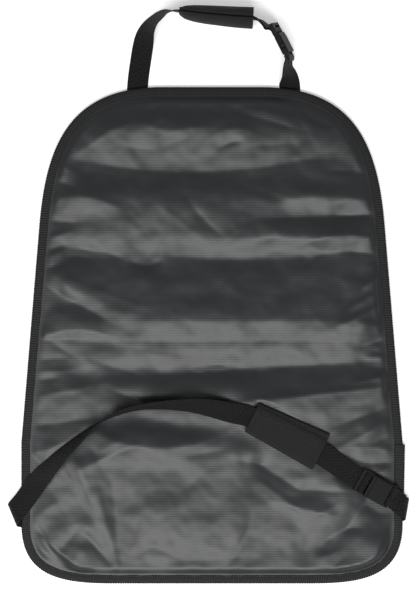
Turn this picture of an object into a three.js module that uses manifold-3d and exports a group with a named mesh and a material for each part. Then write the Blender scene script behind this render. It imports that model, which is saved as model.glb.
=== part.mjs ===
// Car seat back organizer, lying on its pocket side with its back upward.
// Millimetres. +Z is up, +Y points to the headrest strap, +X to the side of the seat strap's buckle.
import * as THREE from 'three';
import { mergeVertices } from 'three/addons/utils/BufferGeometryUtils.js';
import Module from 'manifold-3d';

const wasm = await Module();
wasm.setup();

// Mat outline
const MAT_LENGTH = 595;
const MAT_WIDTH = 457;
const TOP_FLAT = 60;
const TOP_CORNER_ACROSS = 112;
const TOP_CORNER_DOWN = 96;
const SHOULDER_DROP = 166;
const SHOULDER_WIDTH = 414;
const SIDE_TAPER_END = 426;
const BOTTOM_CORNER_START = 524;
const BOTTOM_FLAT = 118;
const BOTTOM_CORNER_DOWN = 65;
const BOTTOM_CORNER_ACROSS = 59;

// Materials and clearances
const CLEAR = 0.3;
const WEBBING_WIDTH = 25;
const WEBBING_THICK = 1.4;
const TAPE_THICK = 0.7;
const BINDING_WIDTH = 10.5;
const FABRIC_THICK = 0.6;
const PAD_THICK = 1.6;

// Overlap of the binding's two ends, on the right side
const OVERLAP_TOP = 428;
const OVERLAP_LENGTH = 64;
const OVERLAP_PROUD_TOP = 2.8;
const OVERLAP_PROUD_LOW = 1.6;

// Pockets on the hidden front, their mouths measured down from the top edge
const UPPER_POCKET_MOUTH = 108;
const UPPER_POCKET_DEPTH = 170;
const LOWER_POCKET_MOUTH = 359;
const HEM_WIDTH = 22;
const POCKET_FADE = 60;

// Puffiness of the back panel
const DOME_HEIGHT = 6;
const DOME_REACH = 70;
const FLAT_RIM = 3;
const FOLD_REACH = 45;

// Straps
const SEWN_LENGTH = 38;
const STRAP_STEP = 7;

// Side-release buckle, along its length from the mouth of the female half
const BODY_LENGTH = 21.5;
const BODY_THICK = 8.4;
const BODY_WALL = 2.2;
const RAIL_THICK = 1.5;
const BAR_WIDTH = 3.4;
const BAR_THICK = 2.4;
const OUTER_BAR_THICK = 2.4;
const FRAME_LENGTH = 18;
const FRAME_SLOT = 4;
const NECK_LENGTH = 4;
const FEMALE_SLOT = 2.8;
const PRONG_WIDTH = 3.6;
const SHOULDER_LENGTH = 5.5;
const WINDOW_START = 8.4;
const WINDOW_LENGTH = 6.8;
const PRONG_PAST_WINDOW = 1.2;
const PRONG_LENGTH = WINDOW_START + WINDOW_LENGTH + PRONG_PAST_WINDOW;
const GUIDE_WIDTH = 4;
const GUIDE_LENGTH = 12;
const TAB_RETURN = 10;

// Keepers, folded pads round the spare webbing
const SEAT_KEEPER_LENGTH = 92.5;
const SEAT_KEEPER_WIDTH_LEFT = 37.5;
const SEAT_KEEPER_WIDTH_RIGHT = 47;
const HEAD_KEEPER_HEIGHT = 31;
const LIP_GAP = 0.6;

// Levels, from the floor up: sewn strap ends, then the layers held by the binding
const Z_FLANGE_LOW = WEBBING_THICK + CLEAR;
const Z_POCKET = Z_FLANGE_LOW + TAPE_THICK + CLEAR;
const Z_FRONT = Z_POCKET + FABRIC_THICK + CLEAR;
const Z_BACK = Z_FRONT + FABRIC_THICK + CLEAR;
const Z_FLANGE_TOP = Z_BACK + FABRIC_THICK + CLEAR;
const Z_RIM = Z_FLANGE_TOP + TAPE_THICK;
const PANEL_INSET = TAPE_THICK + CLEAR;
const POCKET_SAG = Z_POCKET - FABRIC_THICK - CLEAR;

const HALF_LENGTH = MAT_LENGTH / 2;
const HALF_WEBBING = WEBBING_WIDTH / 2;
const RIGHT = 1;
const LEFT = -1;

// Routes and folds are drawn in photo pixels on a mat of these pixel sizes, then fitted to the real mat.
const DRAWN_MM = 1.2;
const DRAWN_CENTRE = [212, 335.25];
const DRAWN_WIDTH = 457;
const DRAWN_LENGTH = 595;

const vec = (x, y, z = 0) => new THREE.Vector3(x, y, z);
const clamp = (v, low, high) => Math.min(high, Math.max(low, v));
const smooth = (t) => {
  const c = clamp(t, 0, 1);
  return c * c * (3 - 2 * c);
};

// A drawn point on the mat, which follows the mat's width and length
function onMat(px, py) {
  const x = (px - DRAWN_CENTRE[0]) * DRAWN_MM * MAT_WIDTH / DRAWN_WIDTH;
  const y = (DRAWN_CENTRE[1] - py) * DRAWN_MM * MAT_LENGTH / DRAWN_LENGTH;
  return vec(x, y);
}

// A drawn point of the headrest loop, which keeps its distance from the mat's top edge
function aboveMat(px, py) {
  const x = (px - DRAWN_CENTRE[0]) * DRAWN_MM;
  const y = (DRAWN_CENTRE[1] - py) * DRAWN_MM - DRAWN_LENGTH / 2 + HALF_LENGTH;
  return vec(x, y);
}

// Mat outline

function bezierPoints(a, b, c, d, count) {
  const curve = new THREE.CubicBezierCurve(a, b, c, d);
  return curve.getPoints(count);
}

function linePoints(a, b, count) {
  const points = [];
  for (let i = 1; i < count; i += 1) {
    points.push(new THREE.Vector2().lerpVectors(a, b, i / count));
  }
  return points;
}

// Right half of the outer edge, from the top centre to the bottom centre
function rightEdge() {
  const v2 = (x, y) => new THREE.Vector2(x, y);
  const halfWidth = MAT_WIDTH / 2;
  const shoulder = v2(SHOULDER_WIDTH / 2, HALF_LENGTH - SHOULDER_DROP);
  const waist = v2(halfWidth, HALF_LENGTH - SIDE_TAPER_END);
  const low = v2(halfWidth, HALF_LENGTH - BOTTOM_CORNER_START);
  const topEnd = v2(TOP_FLAT, HALF_LENGTH);
  const bottomEnd = v2(BOTTOM_FLAT, -HALF_LENGTH);
  const slope = v2(waist.x - shoulder.x, waist.y - shoulder.y).normalize();
  const topHandle = v2(TOP_FLAT + TOP_CORNER_ACROSS, HALF_LENGTH);
  const shoulderHandle = shoulder.clone().addScaledVector(slope, -TOP_CORNER_DOWN);
  const lowHandle = v2(halfWidth, low.y - BOTTOM_CORNER_DOWN);
  const bottomHandle = v2(BOTTOM_FLAT + BOTTOM_CORNER_ACROSS, -HALF_LENGTH);
  return [
    v2(0, HALF_LENGTH),
    ...linePoints(v2(0, HALF_LENGTH), topEnd, 3),
    ...bezierPoints(topEnd, topHandle, shoulderHandle, shoulder, 26),
    ...linePoints(shoulder, waist, 13),
    ...overlapStations(halfWidth),
    ...bezierPoints(low, lowHandle, bottomHandle, bottomEnd, 20),
    ...linePoints(bottomEnd, v2(0, -HALF_LENGTH), 4),
    v2(0, -HALF_LENGTH),
  ];
}

// Close pairs of points where the binding's overlap starts and ends
function overlapStations(halfWidth) {
  const step = CLEAR;
  const top = HALF_LENGTH - OVERLAP_TOP;
  const low = top - OVERLAP_LENGTH;
  const heights = [top + step, top, (top + low) / 2, low, low - step];
  return heights.map((y) => new THREE.Vector2(halfWidth, y));
}

function fullEdge() {
  const right = rightEdge();
  const left = right.slice(1, -1).reverse().map((p) => new THREE.Vector2(-p.x, p.y));
  return [...right, ...left];
}

const EDGE = fullEdge();

function inwardNormal(i) {
  const before = EDGE[(i + EDGE.length - 1) % EDGE.length];
  const after = EDGE[(i + 1) % EDGE.length];
  const dx = after.x - before.x;
  const dy = after.y - before.y;
  const size = Math.hypot(dx, dy);
  return new THREE.Vector2(dy / size, -dx / size);
}

const EDGE_INWARD = EDGE.map((point, i) => inwardNormal(i));

function insetEdge(inset) {
  return EDGE.map((p, i) => p.clone().addScaledVector(EDGE_INWARD[i], inset));
}

// Distance inward from the outer edge, negative outside it
function depthInside(x, y) {
  let best = Infinity;
  let side = 1;
  for (let i = 0; i < EDGE.length; i += 1) {
    const a = EDGE[i];
    const b = EDGE[(i + 1) % EDGE.length];
    const abx = b.x - a.x;
    const aby = b.y - a.y;
    const t = clamp(((x - a.x) * abx + (y - a.y) * aby) / (abx * abx + aby * aby), 0, 1);
    const dx = x - a.x - t * abx;
    const dy = y - a.y - t * aby;
    const d = Math.hypot(dx, dy);
    if (d < best) {
      best = d;
      side = dx * aby - dy * abx > 0 ? 1 : -1;
    }
  }
  return best * side;
}

// Half-width of the outline inset by a given distance, at height y
function halfWidthAt(y, ring) {
  for (let i = 1; i < ring.length; i += 1) {
    const a = ring[i - 1];
    const b = ring[i];
    if (a.x < 0 || b.x < 0) break;
    if (y <= a.y && y >= b.y && a.y > b.y) {
      return a.x + (b.x - a.x) * (a.y - y) / (a.y - b.y);
    }
  }
  return y > 0 ? TOP_FLAT : BOTTOM_FLAT;
}

// Folds of the back panel: crests are positive, valleys negative.
// Each is drawn as x, y, turn in degrees, half length, half width, height, bend.
const FOLDS = [
  [212, 128, 0, 105, 13, 4.2, 0.0006],
  [120, 133, 14, 34, 10, 1.2, 0],
  [205, 172, 1, 95, 12, -3.4, 0],
  [90, 166, -10, 30, 12, -1.6, 0],
  [200, 205, -6, 70, 16, 2.6, 0],
  [78, 190, -22, 34, 11, 2.6, 0],
  [320, 197, 1, 48, 7, 2.6, 0],
  [318, 216, 0, 50, 7, -2.2, 0],
  [322, 236, 0, 46, 7, 2.6, 0],
  [225, 259, 1, 105, 12, -4.4, 0],
  [84, 252, -18, 30, 9, -3, 0],
  [62, 284, -28, 26, 9, 2.6, 0],
  [215, 316, 0, 120, 14, 4.4, 0],
  [75, 304, -24, 26, 9, -2.2, 0],
  [352, 330, 3, 36, 8, 1.6, 0],
  [230, 369, 2, 110, 10, -4.6, 0],
  [60, 366, -4, 24, 9, -1.8, 0],
  [350, 388, 14, 28, 8, -2.2, 0],
  [215, 403, -2, 90, 14, 4.2, 0],
  [168, 424, -6, 50, 8, -3.2, 0],
  [160, 450, -12, 45, 12, 2.4, 0],
  [232, 452, 78, 26, 9, 2.6, 0],
  [268, 462, 62, 26, 9, -2.4, 0],
  [236, 530, 84, 34, 11, 2.8, 0],
  [262, 548, 80, 22, 8, -2.2, 0],
  [96, 505, 70, 40, 9, 2.8, 0],
  [124, 520, 76, 36, 8, -2, 0],
  [160, 505, 84, 40, 14, 1.8, 0],
  [330, 480, -28, 30, 12, 2, 0],
  [345, 535, 35, 36, 14, -2.4, 0],
  [374, 486, -29, 30, 16, -2.2, 0],
];

function foldHeight(x, y) {
  const px = DRAWN_CENTRE[0] + x * DRAWN_WIDTH / (MAT_WIDTH * DRAWN_MM);
  const py = DRAWN_CENTRE[1] - y * DRAWN_LENGTH / (MAT_LENGTH * DRAWN_MM);
  let height = 0;
  for (const [fx, fy, turn, length, width, rise, bend] of FOLDS) {
    const angle = THREE.MathUtils.degToRad(turn);
    const dx = px - fx;
    const dy = fy - py;
    const along = dx * Math.cos(angle) + dy * Math.sin(angle);
    const across = dy * Math.cos(angle) - dx * Math.sin(angle) - bend * along * along;
    height += rise * Math.exp(-0.5 * ((along / length) ** 2 + (across / width) ** 2));
  }
  return height;
}

// Underside of the back panel, which is flat where the binding holds it
function backUnder(x, y) {
  const depth = depthInside(x, y) - BINDING_WIDTH - FLAT_RIM;
  const dome = DOME_HEIGHT * (1 - (1 - clamp(depth / DOME_REACH, 0, 1)) ** 2);
  const folds = foldHeight(x, y) * smooth(depth / FOLD_REACH);
  return Z_BACK + Math.max(0, dome + folds);
}

// Highest surface of the mat under a point: binding, back panel or the floor beyond the edge
function matTop(x, y) {
  const depth = depthInside(x, y);
  if (depth < -OVERLAP_PROUD_TOP) return 0;
  if (depth < BINDING_WIDTH + CLEAR) return Z_RIM + TAPE_THICK;
  return backUnder(x, y) + FABRIC_THICK;
}

// Underside of a pocket sheet, which hangs from the binding and sags to the floor
function pocketUnder(x, y, lowEdge) {
  const fromSide = smooth((depthInside(x, y) - BINDING_WIDTH) / POCKET_FADE);
  const fromLow = smooth((y - lowEdge - BINDING_WIDTH) / POCKET_FADE);
  return Z_POCKET - POCKET_SAG * fromSide * fromLow;
}

// Solids from rings and grids of points

function solidGeometry(points, faces) {
  const geometry = new THREE.BufferGeometry();
  const positions = points.flatMap((p) => [p.x, p.y, p.z]);
  geometry.setAttribute('position', new THREE.Float32BufferAttribute(positions, 3));
  let volume = 0;
  for (const [a, b, c] of faces) {
    volume += points[a].dot(points[b].clone().cross(points[c]));
  }
  const outward = volume > 0 ? faces : faces.map(([a, b, c]) => [a, c, b]);
  geometry.setIndex(outward.flat());
  geometry.computeVertexNormals();
  return geometry;
}

// Joins equal rings of points into one solid, with flat ends or closed on itself. The second half of a thin
// section runs back along the first, so its squares are split the other way and both sides stay parallel.
// From a turned ring on both splits change places, as in webbing that lies back along its own run.
function loft(rings, section, closed, turned = []) {
  const count = section.length;
  const faces = [];
  const spans = closed ? rings.length : rings.length - 1;
  for (let i = 0; i < spans; i += 1) {
    const next = (i + 1) % rings.length;
    for (let j = 0; j < count; j += 1) {
      const k = (j + 1) % count;
      const [a, b] = [i * count + j, i * count + k];
      const [c, d] = [next * count + k, next * count + j];
      const back = (j >= count / 2) !== Boolean(turned[i]);
      faces.push(back ? [a, b, d] : [a, b, c]);
      faces.push(back ? [b, c, d] : [a, c, d]);
    }
  }
  const last = (rings.length - 1) * count;
  for (const [a, b, c] of closed ? [] : capTriangles(section)) {
    faces.push([c, b, a]);
    faces.push([last + a, last + b, last + c]);
  }
  return solidGeometry(rings.flat(), faces);
}

// Triangles of a section, turned the same way round as the section itself
function capTriangles(section) {
  const turn = Math.sign(THREE.ShapeUtils.area(section));
  return THREE.ShapeUtils.triangulateShape([...section], []).map(([a, b, c]) => {
    const same = Math.sign(THREE.ShapeUtils.area([section[a], section[b], section[c]])) === turn;
    return same ? [a, b, c] : [c, b, a];
  });
}

// A thin sheet over a grid of points, with its underside given
function sheetGeometry(rows, underAt, thickness) {
  const columns = rows[0].length;
  const lower = rows.flat().map(([x, y]) => vec(x, y, underAt(x, y)));
  const upper = lower.map((p) => vec(p.x, p.y, p.z + thickness));
  const points = [...lower, ...upper];
  const top = lower.length;
  const faces = [];
  const wall = (a, b) => {
    faces.push([a, b, top + b]);
    faces.push([a, top + b, top + a]);
  };
  for (let i = 0; i + 1 < rows.length; i += 1) {
    for (let j = 0; j + 1 < columns; j += 1) {
      const a = i * columns + j;
      const b = a + 1;
      const c = a + columns + 1;
      const d = a + columns;
      faces.push([a, c, b], [a, d, c]);
      faces.push([top + a, top + b, top + c], [top + a, top + c, top + d]);
    }
    wall((i + 1) * columns, i * columns);
    wall(i * columns + columns - 1, (i + 1) * columns + columns - 1);
  }
  for (let j = 0; j + 1 < columns; j += 1) {
    wall(j, j + 1);
    wall((rows.length - 1) * columns + j + 1, (rows.length - 1) * columns + j);
  }
  return solidGeometry(points, faces);
}

// Places along one axis: close steps near a curved end, even steps between
function spread(low, high, step, lowEnd, highEnd) {
  const places = [low, ...lowEnd.map((d) => low + d)];
  const start = places[places.length - 1];
  const end = highEnd.length ? high - highEnd[highEnd.length - 1] : high;
  const count = Math.max(1, Math.round((end - start) / step));
  for (let i = 1; i < count; i += 1) {
    places.push(start + (end - start) * i / count);
  }
  if (highEnd.length) places.push(...highEnd.map((d) => high - d).reverse());
  places.push(high);
  return places;
}

const EDGE_STEPS = [1.5, 4, 7.5, 13, 21, 31];
const SIDE_STEPS = [12, 23, 36];

// Grid over the mat between two heights, inset from the outline
function matGrid(low, high, inset, rowStep, columnCount, lowEnd, highEnd) {
  const ring = insetEdge(inset);
  return spread(low, high, rowStep, lowEnd, highEnd).map((y) => {
    const half = halfWidthAt(y, ring);
    const core = half - SIDE_STEPS[SIDE_STEPS.length - 1];
    const row = [-half, ...SIDE_STEPS.map((d) => d - half)];
    for (let j = 1; j < columnCount; j += 1) {
      row.push(-core + 2 * core * j / columnCount);
    }
    row.push(...SIDE_STEPS.map((d) => half - d).reverse(), half);
    return row.map((x) => [x, y]);
  });
}

// Mat pieces

function backPanel() {
  const low = -HALF_LENGTH + PANEL_INSET;
  const high = HALF_LENGTH - PANEL_INSET;
  const rows = matGrid(low, high, PANEL_INSET, 11.5, 18, EDGE_STEPS, EDGE_STEPS);
  return sheetGeometry(rows, backUnder, FABRIC_THICK);
}

function frontPanel() {
  const shape = new THREE.Shape(insetEdge(PANEL_INSET));
  const geometry = new THREE.ExtrudeGeometry(shape, { depth: FABRIC_THICK, bevelEnabled: false });
  return geometry.translate(0, 0, Z_FRONT);
}

// Folded tape round the whole edge, doubled where its ends overlap
function bindingSection(proud, extra) {
  const fold = TAPE_THICK;
  const low = Z_FLANGE_LOW - extra;
  const high = Z_RIM + extra;
  const v2 = (s, z) => new THREE.Vector2(s, z);
  return [
    v2(BINDING_WIDTH, low),
    v2(fold - proud, low),
    v2(-proud, low + fold),
    v2(-proud, high - fold),
    v2(fold - proud, high),
    v2(BINDING_WIDTH, high),
    v2(BINDING_WIDTH, Z_FLANGE_TOP),
    v2(TAPE_THICK, Z_FLANGE_TOP),
    v2(TAPE_THICK, Z_FLANGE_LOW + TAPE_THICK),
    v2(BINDING_WIDTH, Z_FLANGE_LOW + TAPE_THICK),
  ];
}

function overlapShare(point) {
  const down = (HALF_LENGTH - OVERLAP_TOP - point.y) / OVERLAP_LENGTH;
  const inside = point.x > 0 && down > -1e-6 && down < 1 + 1e-6;
  return inside ? down : -1;
}

function edgeBinding() {
  const rings = EDGE.map((point, i) => {
    const down = overlapShare(point);
    const proud = down < 0 ? 0 : OVERLAP_PROUD_TOP + (OVERLAP_PROUD_LOW - OVERLAP_PROUD_TOP) * down;
    const section = bindingSection(proud, down < 0 ? 0 : TAPE_THICK);
    const inward = EDGE_INWARD[i];
    return section.map((s) => vec(point.x + inward.x * s.x, point.y + inward.y * s.x, s.y));
  });
  return loft(rings, bindingSection(0, 0), true);
}

function pocketSheet(mouth, low, lowEnd) {
  const rows = matGrid(low, mouth, PANEL_INSET, 20, 12, lowEnd, []);
  return sheetGeometry(rows, (x, y) => pocketUnder(x, y, low), FABRIC_THICK);
}

// Tape along a pocket's mouth: a flat band outside the sheet, turned over its edge
function pocketHem(mouth, low) {
  const ring = insetEdge(BINDING_WIDTH + 2 * CLEAR);
  const reach = halfWidthAt(mouth - HEM_WIDTH / 2, ring) - 2;
  const lip = CLEAR + FABRIC_THICK;
  const section = (z) => [
    new THREE.Vector2(-HEM_WIDTH, z - lip),
    new THREE.Vector2(lip, z - lip),
    new THREE.Vector2(lip, z + FABRIC_THICK),
    new THREE.Vector2(CLEAR, z + FABRIC_THICK),
    new THREE.Vector2(CLEAR, z - CLEAR),
    new THREE.Vector2(-HEM_WIDTH, z - CLEAR),
  ];
  const rings = spread(-reach, reach, 24, [10, 20, 30, 42, 54], [10, 20, 30, 42, 54]).map((x) => {
    const z = Math.min(pocketUnder(x, mouth, low), pocketUnder(x, mouth - HEM_WIDTH, low));
    return section(z).map((s) => vec(x, mouth + s.x, s.y));
  });
  return loft(rings, section(0), false);
}

// Half width and face direction of webbing at each station, square to the way it runs
function squared(stations) {
  return stations.map((station, i) => {
    const before = stations[Math.max(0, i - 1)].place;
    const after = stations[Math.min(stations.length - 1, i + 1)].place;
    const tangent = after.clone().sub(before).normalize();
    const square = tangent.clone().cross(station.face).normalize().multiplyScalar(HALF_WEBBING);
    const across = station.across ?? square;
    const normal = station.across ? station.face : square.clone().cross(tangent).normalize();
    return { place: station.place, across, normal };
  });
}

// The second layer of webbing, laid back along its own run on the side away from the run's face
function turnedBack(stations) {
  return squared(stations).reverse().map(({ place, across, normal }) => {
    const back = place.clone().addScaledVector(normal, -WEBBING_THICK - CLEAR);
    back.z = Math.max(back.z, Math.abs(across.z) + Math.abs(normal.z) * WEBBING_THICK / 2);
    return { place: back, face: normal.clone().negate(), across, turned: true };
  });
}

// Webbing: a flat ribbon through stations that each hold a place and the direction of one face

function ribbon(stations) {
  const half = new THREE.Vector2(HALF_WEBBING, WEBBING_THICK / 2);
  const corners = [[-1, -1], [1, -1], [1, 1], [-1, 1]];
  const rings = squared(stations).map(({ place, across, normal }) => corners.map(([a, b]) => place.clone()
    .addScaledVector(across, a)
    .addScaledVector(normal, b * half.y)));
  const section = corners.map(([a, b]) => new THREE.Vector2(a * half.x, b * half.y));
  return loft(rings, section, false, stations.map((station) => station.turned));
}

// Face direction of webbing that runs along a tangent and is rolled about it; -90 stands it on its left edge
function rolledFace(tangent, roll) {
  const angle = THREE.MathUtils.degToRad(roll);
  const left = vec(-tangent.y, tangent.x, 0).normalize();
  return vec(0, 0, Math.cos(angle)).addScaledVector(left, -Math.sin(angle));
}

// Smooth run of webbing through places with a roll each, stepped evenly and never below the floor
function rolledRun(places, rolls) {
  const curve = new THREE.CatmullRomCurve3(places, false, 'centripetal');
  const steps = Math.max(2, Math.round(curve.getLength() / STRAP_STEP));
  const spans = places.length - 1;
  const stations = [];
  for (let i = 0; i <= steps; i += 1) {
    const t = curve.getUtoTmapping(i / steps);
    const span = Math.min(spans - 1, Math.floor(t * spans));
    const part = t * spans - span;
    const roll = rolls[span] + (rolls[span + 1] - rolls[span]) * part;
    const place = curve.getPoint(t);
    place.z = Math.max(place.z, strapHeight(roll));
    stations.push({ place, face: rolledFace(curve.getTangent(t), roll) });
  }
  return stations;
}

// Height of a strap's centre above what it lies on, for webbing rolled about its length
function strapHeight(roll) {
  const angle = THREE.MathUtils.degToRad(roll);
  return HALF_WEBBING * Math.abs(Math.sin(angle)) + WEBBING_THICK / 2 * Math.abs(Math.cos(angle));
}

function highestUnder(place, direction, halfWidth, reach) {
  const side = vec(-direction.y, direction.x);
  let highest = 0;
  for (const a of [-reach, 0, reach]) {
    for (const b of [-1, -0.5, 0, 0.5, 1]) {
      const x = place.x + direction.x * a + side.x * b * halfWidth;
      const y = place.y + direction.y * a + side.y * b * halfWidth;
      highest = Math.max(highest, matTop(x, y));
    }
  }
  return highest;
}

// Webbing turned over a fold line: from the underside, round outside the mat's edge, to the top
function edgeFold(centre, inward, slant, lowZ, highZ) {
  const radius = (highZ - lowZ) / 2;
  const along = vec(-inward.y, inward.x);
  const across = along.clone().multiplyScalar(-HALF_WEBBING * Math.hypot(1, slant));
  const stations = [];
  for (let i = 0; i <= 8; i += 1) {
    const angle = -Math.PI / 2 + Math.PI * i / 8;
    const place = centre.clone()
      .addScaledVector(inward, radius * (1 - Math.cos(angle)))
      .addScaledVector(along, slant * radius * angle);
    place.z = (highZ + lowZ) / 2 + radius * Math.sin(angle);
    const face = vec(0, 0, Math.sin(angle)).addScaledVector(inward, -Math.cos(angle));
    stations.push({ place, face, across });
  }
  return stations;
}

// The sewn end under the mat that leads into a fold
function sewnEnd(fold, direction, length) {
  const start = fold[0].place.clone().addScaledVector(direction, -length);
  return [0, 0.5].map((t) => ({
    place: start.clone().lerp(fold[0].place, t),
    face: fold[0].face.clone(),
  }));
}

// Frames that hold a buckle or a keeper: a place, its length, across and up directions

function makeFrame(place, along, up) {
  const u = along.clone().normalize();
  const v = up.clone().cross(u).normalize();
  const w = u.clone().cross(v);
  return { place, u, v, w };
}

function inFrame(frame, u, v, w) {
  return frame.place.clone()
    .addScaledVector(frame.u, u)
    .addScaledVector(frame.v, v)
    .addScaledVector(frame.w, w);
}

function frameMatrix(frame) {
  const matrix = new THREE.Matrix4().makeBasis(frame.u, frame.v, frame.w);
  return matrix.setPosition(frame.place);
}

// Station of webbing inside a frame, running in its u-w plane
function frameStation(frame, u, w, faceAngle, v = 0) {
  const angle = THREE.MathUtils.degToRad(faceAngle);
  const face = frame.u.clone().multiplyScalar(Math.cos(angle)).addScaledVector(frame.w, Math.sin(angle));
  return { place: inFrame(frame, u, v, w), face };
}

// Lays a straight member of given length and width on the mat, clear of every crest below it
function layFrame(start, end, length, halfWidth, lift) {
  const direction = end.clone().sub(start).setZ(0).normalize();
  const count = 12;
  const heights = [];
  for (let i = 0; i <= count; i += 1) {
    const place = start.clone().addScaledVector(direction, length * i / count);
    heights.push(highestUnder(place, direction, halfWidth, length / count) + lift);
  }
  const line = (t) => heights[0] + (heights[count] - heights[0]) * t;
  const rise = Math.max(...heights.map((h, i) => h - line(i / count)));
  const along = direction.clone().multiplyScalar(length).setZ(heights[count] - heights[0]);
  const up = vec(0, 0, 1);
  const frame = makeFrame(start.clone().setZ(heights[0] + rise), along, up);
  return frame;
}

// Buckle, in its own frame: u from the strap to the tab with 0 at the female half's mouth, w up

const BUCKLE_HALF = HALF_WEBBING + CLEAR + RAIL_THICK;
const TURN_RADIUS = CLEAR + WEBBING_THICK / 2;
const BAR_LOW = WEBBING_THICK + CLEAR;
const BAR_HIGH = BAR_LOW + BAR_THICK;
const OUTER_BAR_LOW = 2 * (WEBBING_THICK + CLEAR);
const SLIDE_BAR_RIGHT = -NECK_LENGTH - BAR_WIDTH + CLEAR * 0.7;
const SLIDE_BAR_LEFT = SLIDE_BAR_RIGHT - BAR_WIDTH;
const TAB_BAR_LEFT = BODY_LENGTH + FEMALE_SLOT;
const TAB_BAR_RIGHT = TAB_BAR_LEFT + BAR_WIDTH;
const CAVITY_LOW = BODY_WALL;
const CAVITY_HIGH = BODY_THICK - BODY_WALL + CLEAR;
const PRONG_LOW = CAVITY_LOW + CLEAR;
const PRONG_HIGH = CAVITY_HIGH - CLEAR;
const CAVITY_HALF = BUCKLE_HALF - BODY_WALL - CLEAR;
const PRONG_OUT = CAVITY_HALF - CLEAR;

function toSolid(geometry) {
  const plain = geometry.clone();
  plain.deleteAttribute('normal');
  plain.deleteAttribute('uv');
  const merged = mergeVertices(plain, 1e-4);
  return new wasm.Manifold(new wasm.Mesh({
    numProp: 3,
    vertProperties: new Float32Array(merged.attributes.position.array),
    triVerts: new Uint32Array(merged.index.array),
  }));
}

function fromSolid(solid) {
  const mesh = solid.getMesh();
  const geometry = new THREE.BufferGeometry();
  geometry.setAttribute('position', new THREE.BufferAttribute(mesh.vertProperties, 3));
  geometry.setIndex(new THREE.BufferAttribute(mesh.triVerts, 1));
  geometry.computeVertexNormals();
  return geometry;
}

function block(u0, u1, v0, v1, w0, w1) {
  const geometry = new THREE.BoxGeometry(u1 - u0, v1 - v0, w1 - w0);
  return toSolid(geometry.translate((u0 + u1) / 2, (v0 + v1) / 2, (w0 + w1) / 2));
}

// A bar along u with rounded long edges
function roundedBlock(u0, u1, halfV, w0, w1, radius) {
  const shape = new THREE.Shape();
  shape.moveTo(halfV - radius, w0);
  shape.absarc(halfV - radius, w0 + radius, radius, -Math.PI / 2, 0, false);
  shape.absarc(halfV - radius, w1 - radius, radius, 0, Math.PI / 2, false);
  shape.absarc(-halfV + radius, w1 - radius, radius, Math.PI / 2, Math.PI, false);
  shape.absarc(-halfV + radius, w0 + radius, radius, Math.PI, 1.5 * Math.PI, false);
  const geometry = new THREE.ExtrudeGeometry(shape, {
    depth: u1 - u0,
    bevelEnabled: false,
    curveSegments: 4,
  });
  const turn = new THREE.Matrix4().makeBasis(vec(0, 1, 0), vec(0, 0, 1), vec(1, 0, 0));
  return toSolid(geometry.applyMatrix4(turn).translate(u0, 0, 0));
}

// A plate drawn in u and v
function plate(outline, w0, w1) {
  const shape = new THREE.Shape(outline.map(([u, v]) => new THREE.Vector2(u, v)));
  const geometry = new THREE.ExtrudeGeometry(shape, { depth: w1 - w0, bevelEnabled: false });
  return toSolid(geometry.translate(0, 0, w0));
}

function addAll(solids) {
  return solids.reduce((sum, solid) => sum.add(solid));
}

// Sprung prong with the shoulder that snaps into the side window
function prong(side) {
  const inner = PRONG_OUT - PRONG_WIDTH;
  const reach = BUCKLE_HALF - 3 * CLEAR;
  const back = WINDOW_START + 2 * CLEAR;
  const tip = back + SHOULDER_LENGTH;
  const outline = [
    [-1, inner],
    [PRONG_LENGTH, inner + 1],
    [PRONG_LENGTH, inner + 2.4],
    [tip, PRONG_OUT],
    [tip - 0.6, PRONG_OUT + 0.8],
    [back + 1.2, reach],
    [back, reach],
    [back, PRONG_OUT],
    [-1, PRONG_OUT],
  ];
  return plate(outline.map(([u, v]) => [u, v * side]), PRONG_LOW, PRONG_HIGH);
}

function buckleMale() {
  const wide = BUCKLE_HALF;
  const inner = HALF_WEBBING + CLEAR;
  const top = OUTER_BAR_LOW + OUTER_BAR_THICK;
  const neck = roundedBlock(-NECK_LENGTH, -CLEAR, wide, CLEAR, BODY_THICK - 2 * CLEAR, 1.6);
  const outerBar = block(-FRAME_LENGTH, -FRAME_LENGTH + BAR_WIDTH, -wide, wide, OUTER_BAR_LOW, top);
  const slideBar = block(SLIDE_BAR_LEFT, SLIDE_BAR_RIGHT, -wide, wide, BAR_LOW, BAR_HIGH);
  const rails = [RIGHT, LEFT].map((side) => {
    const low = Math.min(inner * side, wide * side);
    const high = Math.max(inner * side, wide * side);
    return block(-FRAME_LENGTH, -NECK_LENGTH + 0.5, low, high, CLEAR, top);
  });
  const guide = block(-1, GUIDE_LENGTH, -GUIDE_WIDTH / 2, GUIDE_WIDTH / 2, PRONG_LOW, PRONG_HIGH);
  return fromSolid(addAll([neck, outerBar, slideBar, ...rails, guide, prong(RIGHT), prong(LEFT)]));
}

function buckleFemale() {
  const wide = BUCKLE_HALF;
  const inner = HALF_WEBBING + CLEAR;
  const body = roundedBlock(0, BODY_LENGTH, wide, 0, BODY_THICK, 2);
  const cavity = block(-1, BODY_LENGTH - BODY_WALL, -CAVITY_HALF, CAVITY_HALF, CAVITY_LOW, CAVITY_HIGH);
  const windowEnd = WINDOW_START + WINDOW_LENGTH;
  const windows = block(WINDOW_START, windowEnd, -wide - 1, wide + 1, CAVITY_LOW, CAVITY_HIGH);
  const bar = block(TAB_BAR_LEFT, TAB_BAR_RIGHT, -wide, wide, BAR_LOW, BAR_HIGH);
  const rails = [RIGHT, LEFT].map((side) => {
    const low = Math.min(inner * side, wide * side);
    const high = Math.max(inner * side, wide * side);
    return block(BODY_LENGTH - 0.5, TAB_BAR_RIGHT, low, high, BAR_LOW, BAR_HIGH + 1);
  });
  const solid = addAll([body, bar, ...rails]).subtract(cavity).subtract(windows);
  return fromSolid(solid);
}

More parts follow.
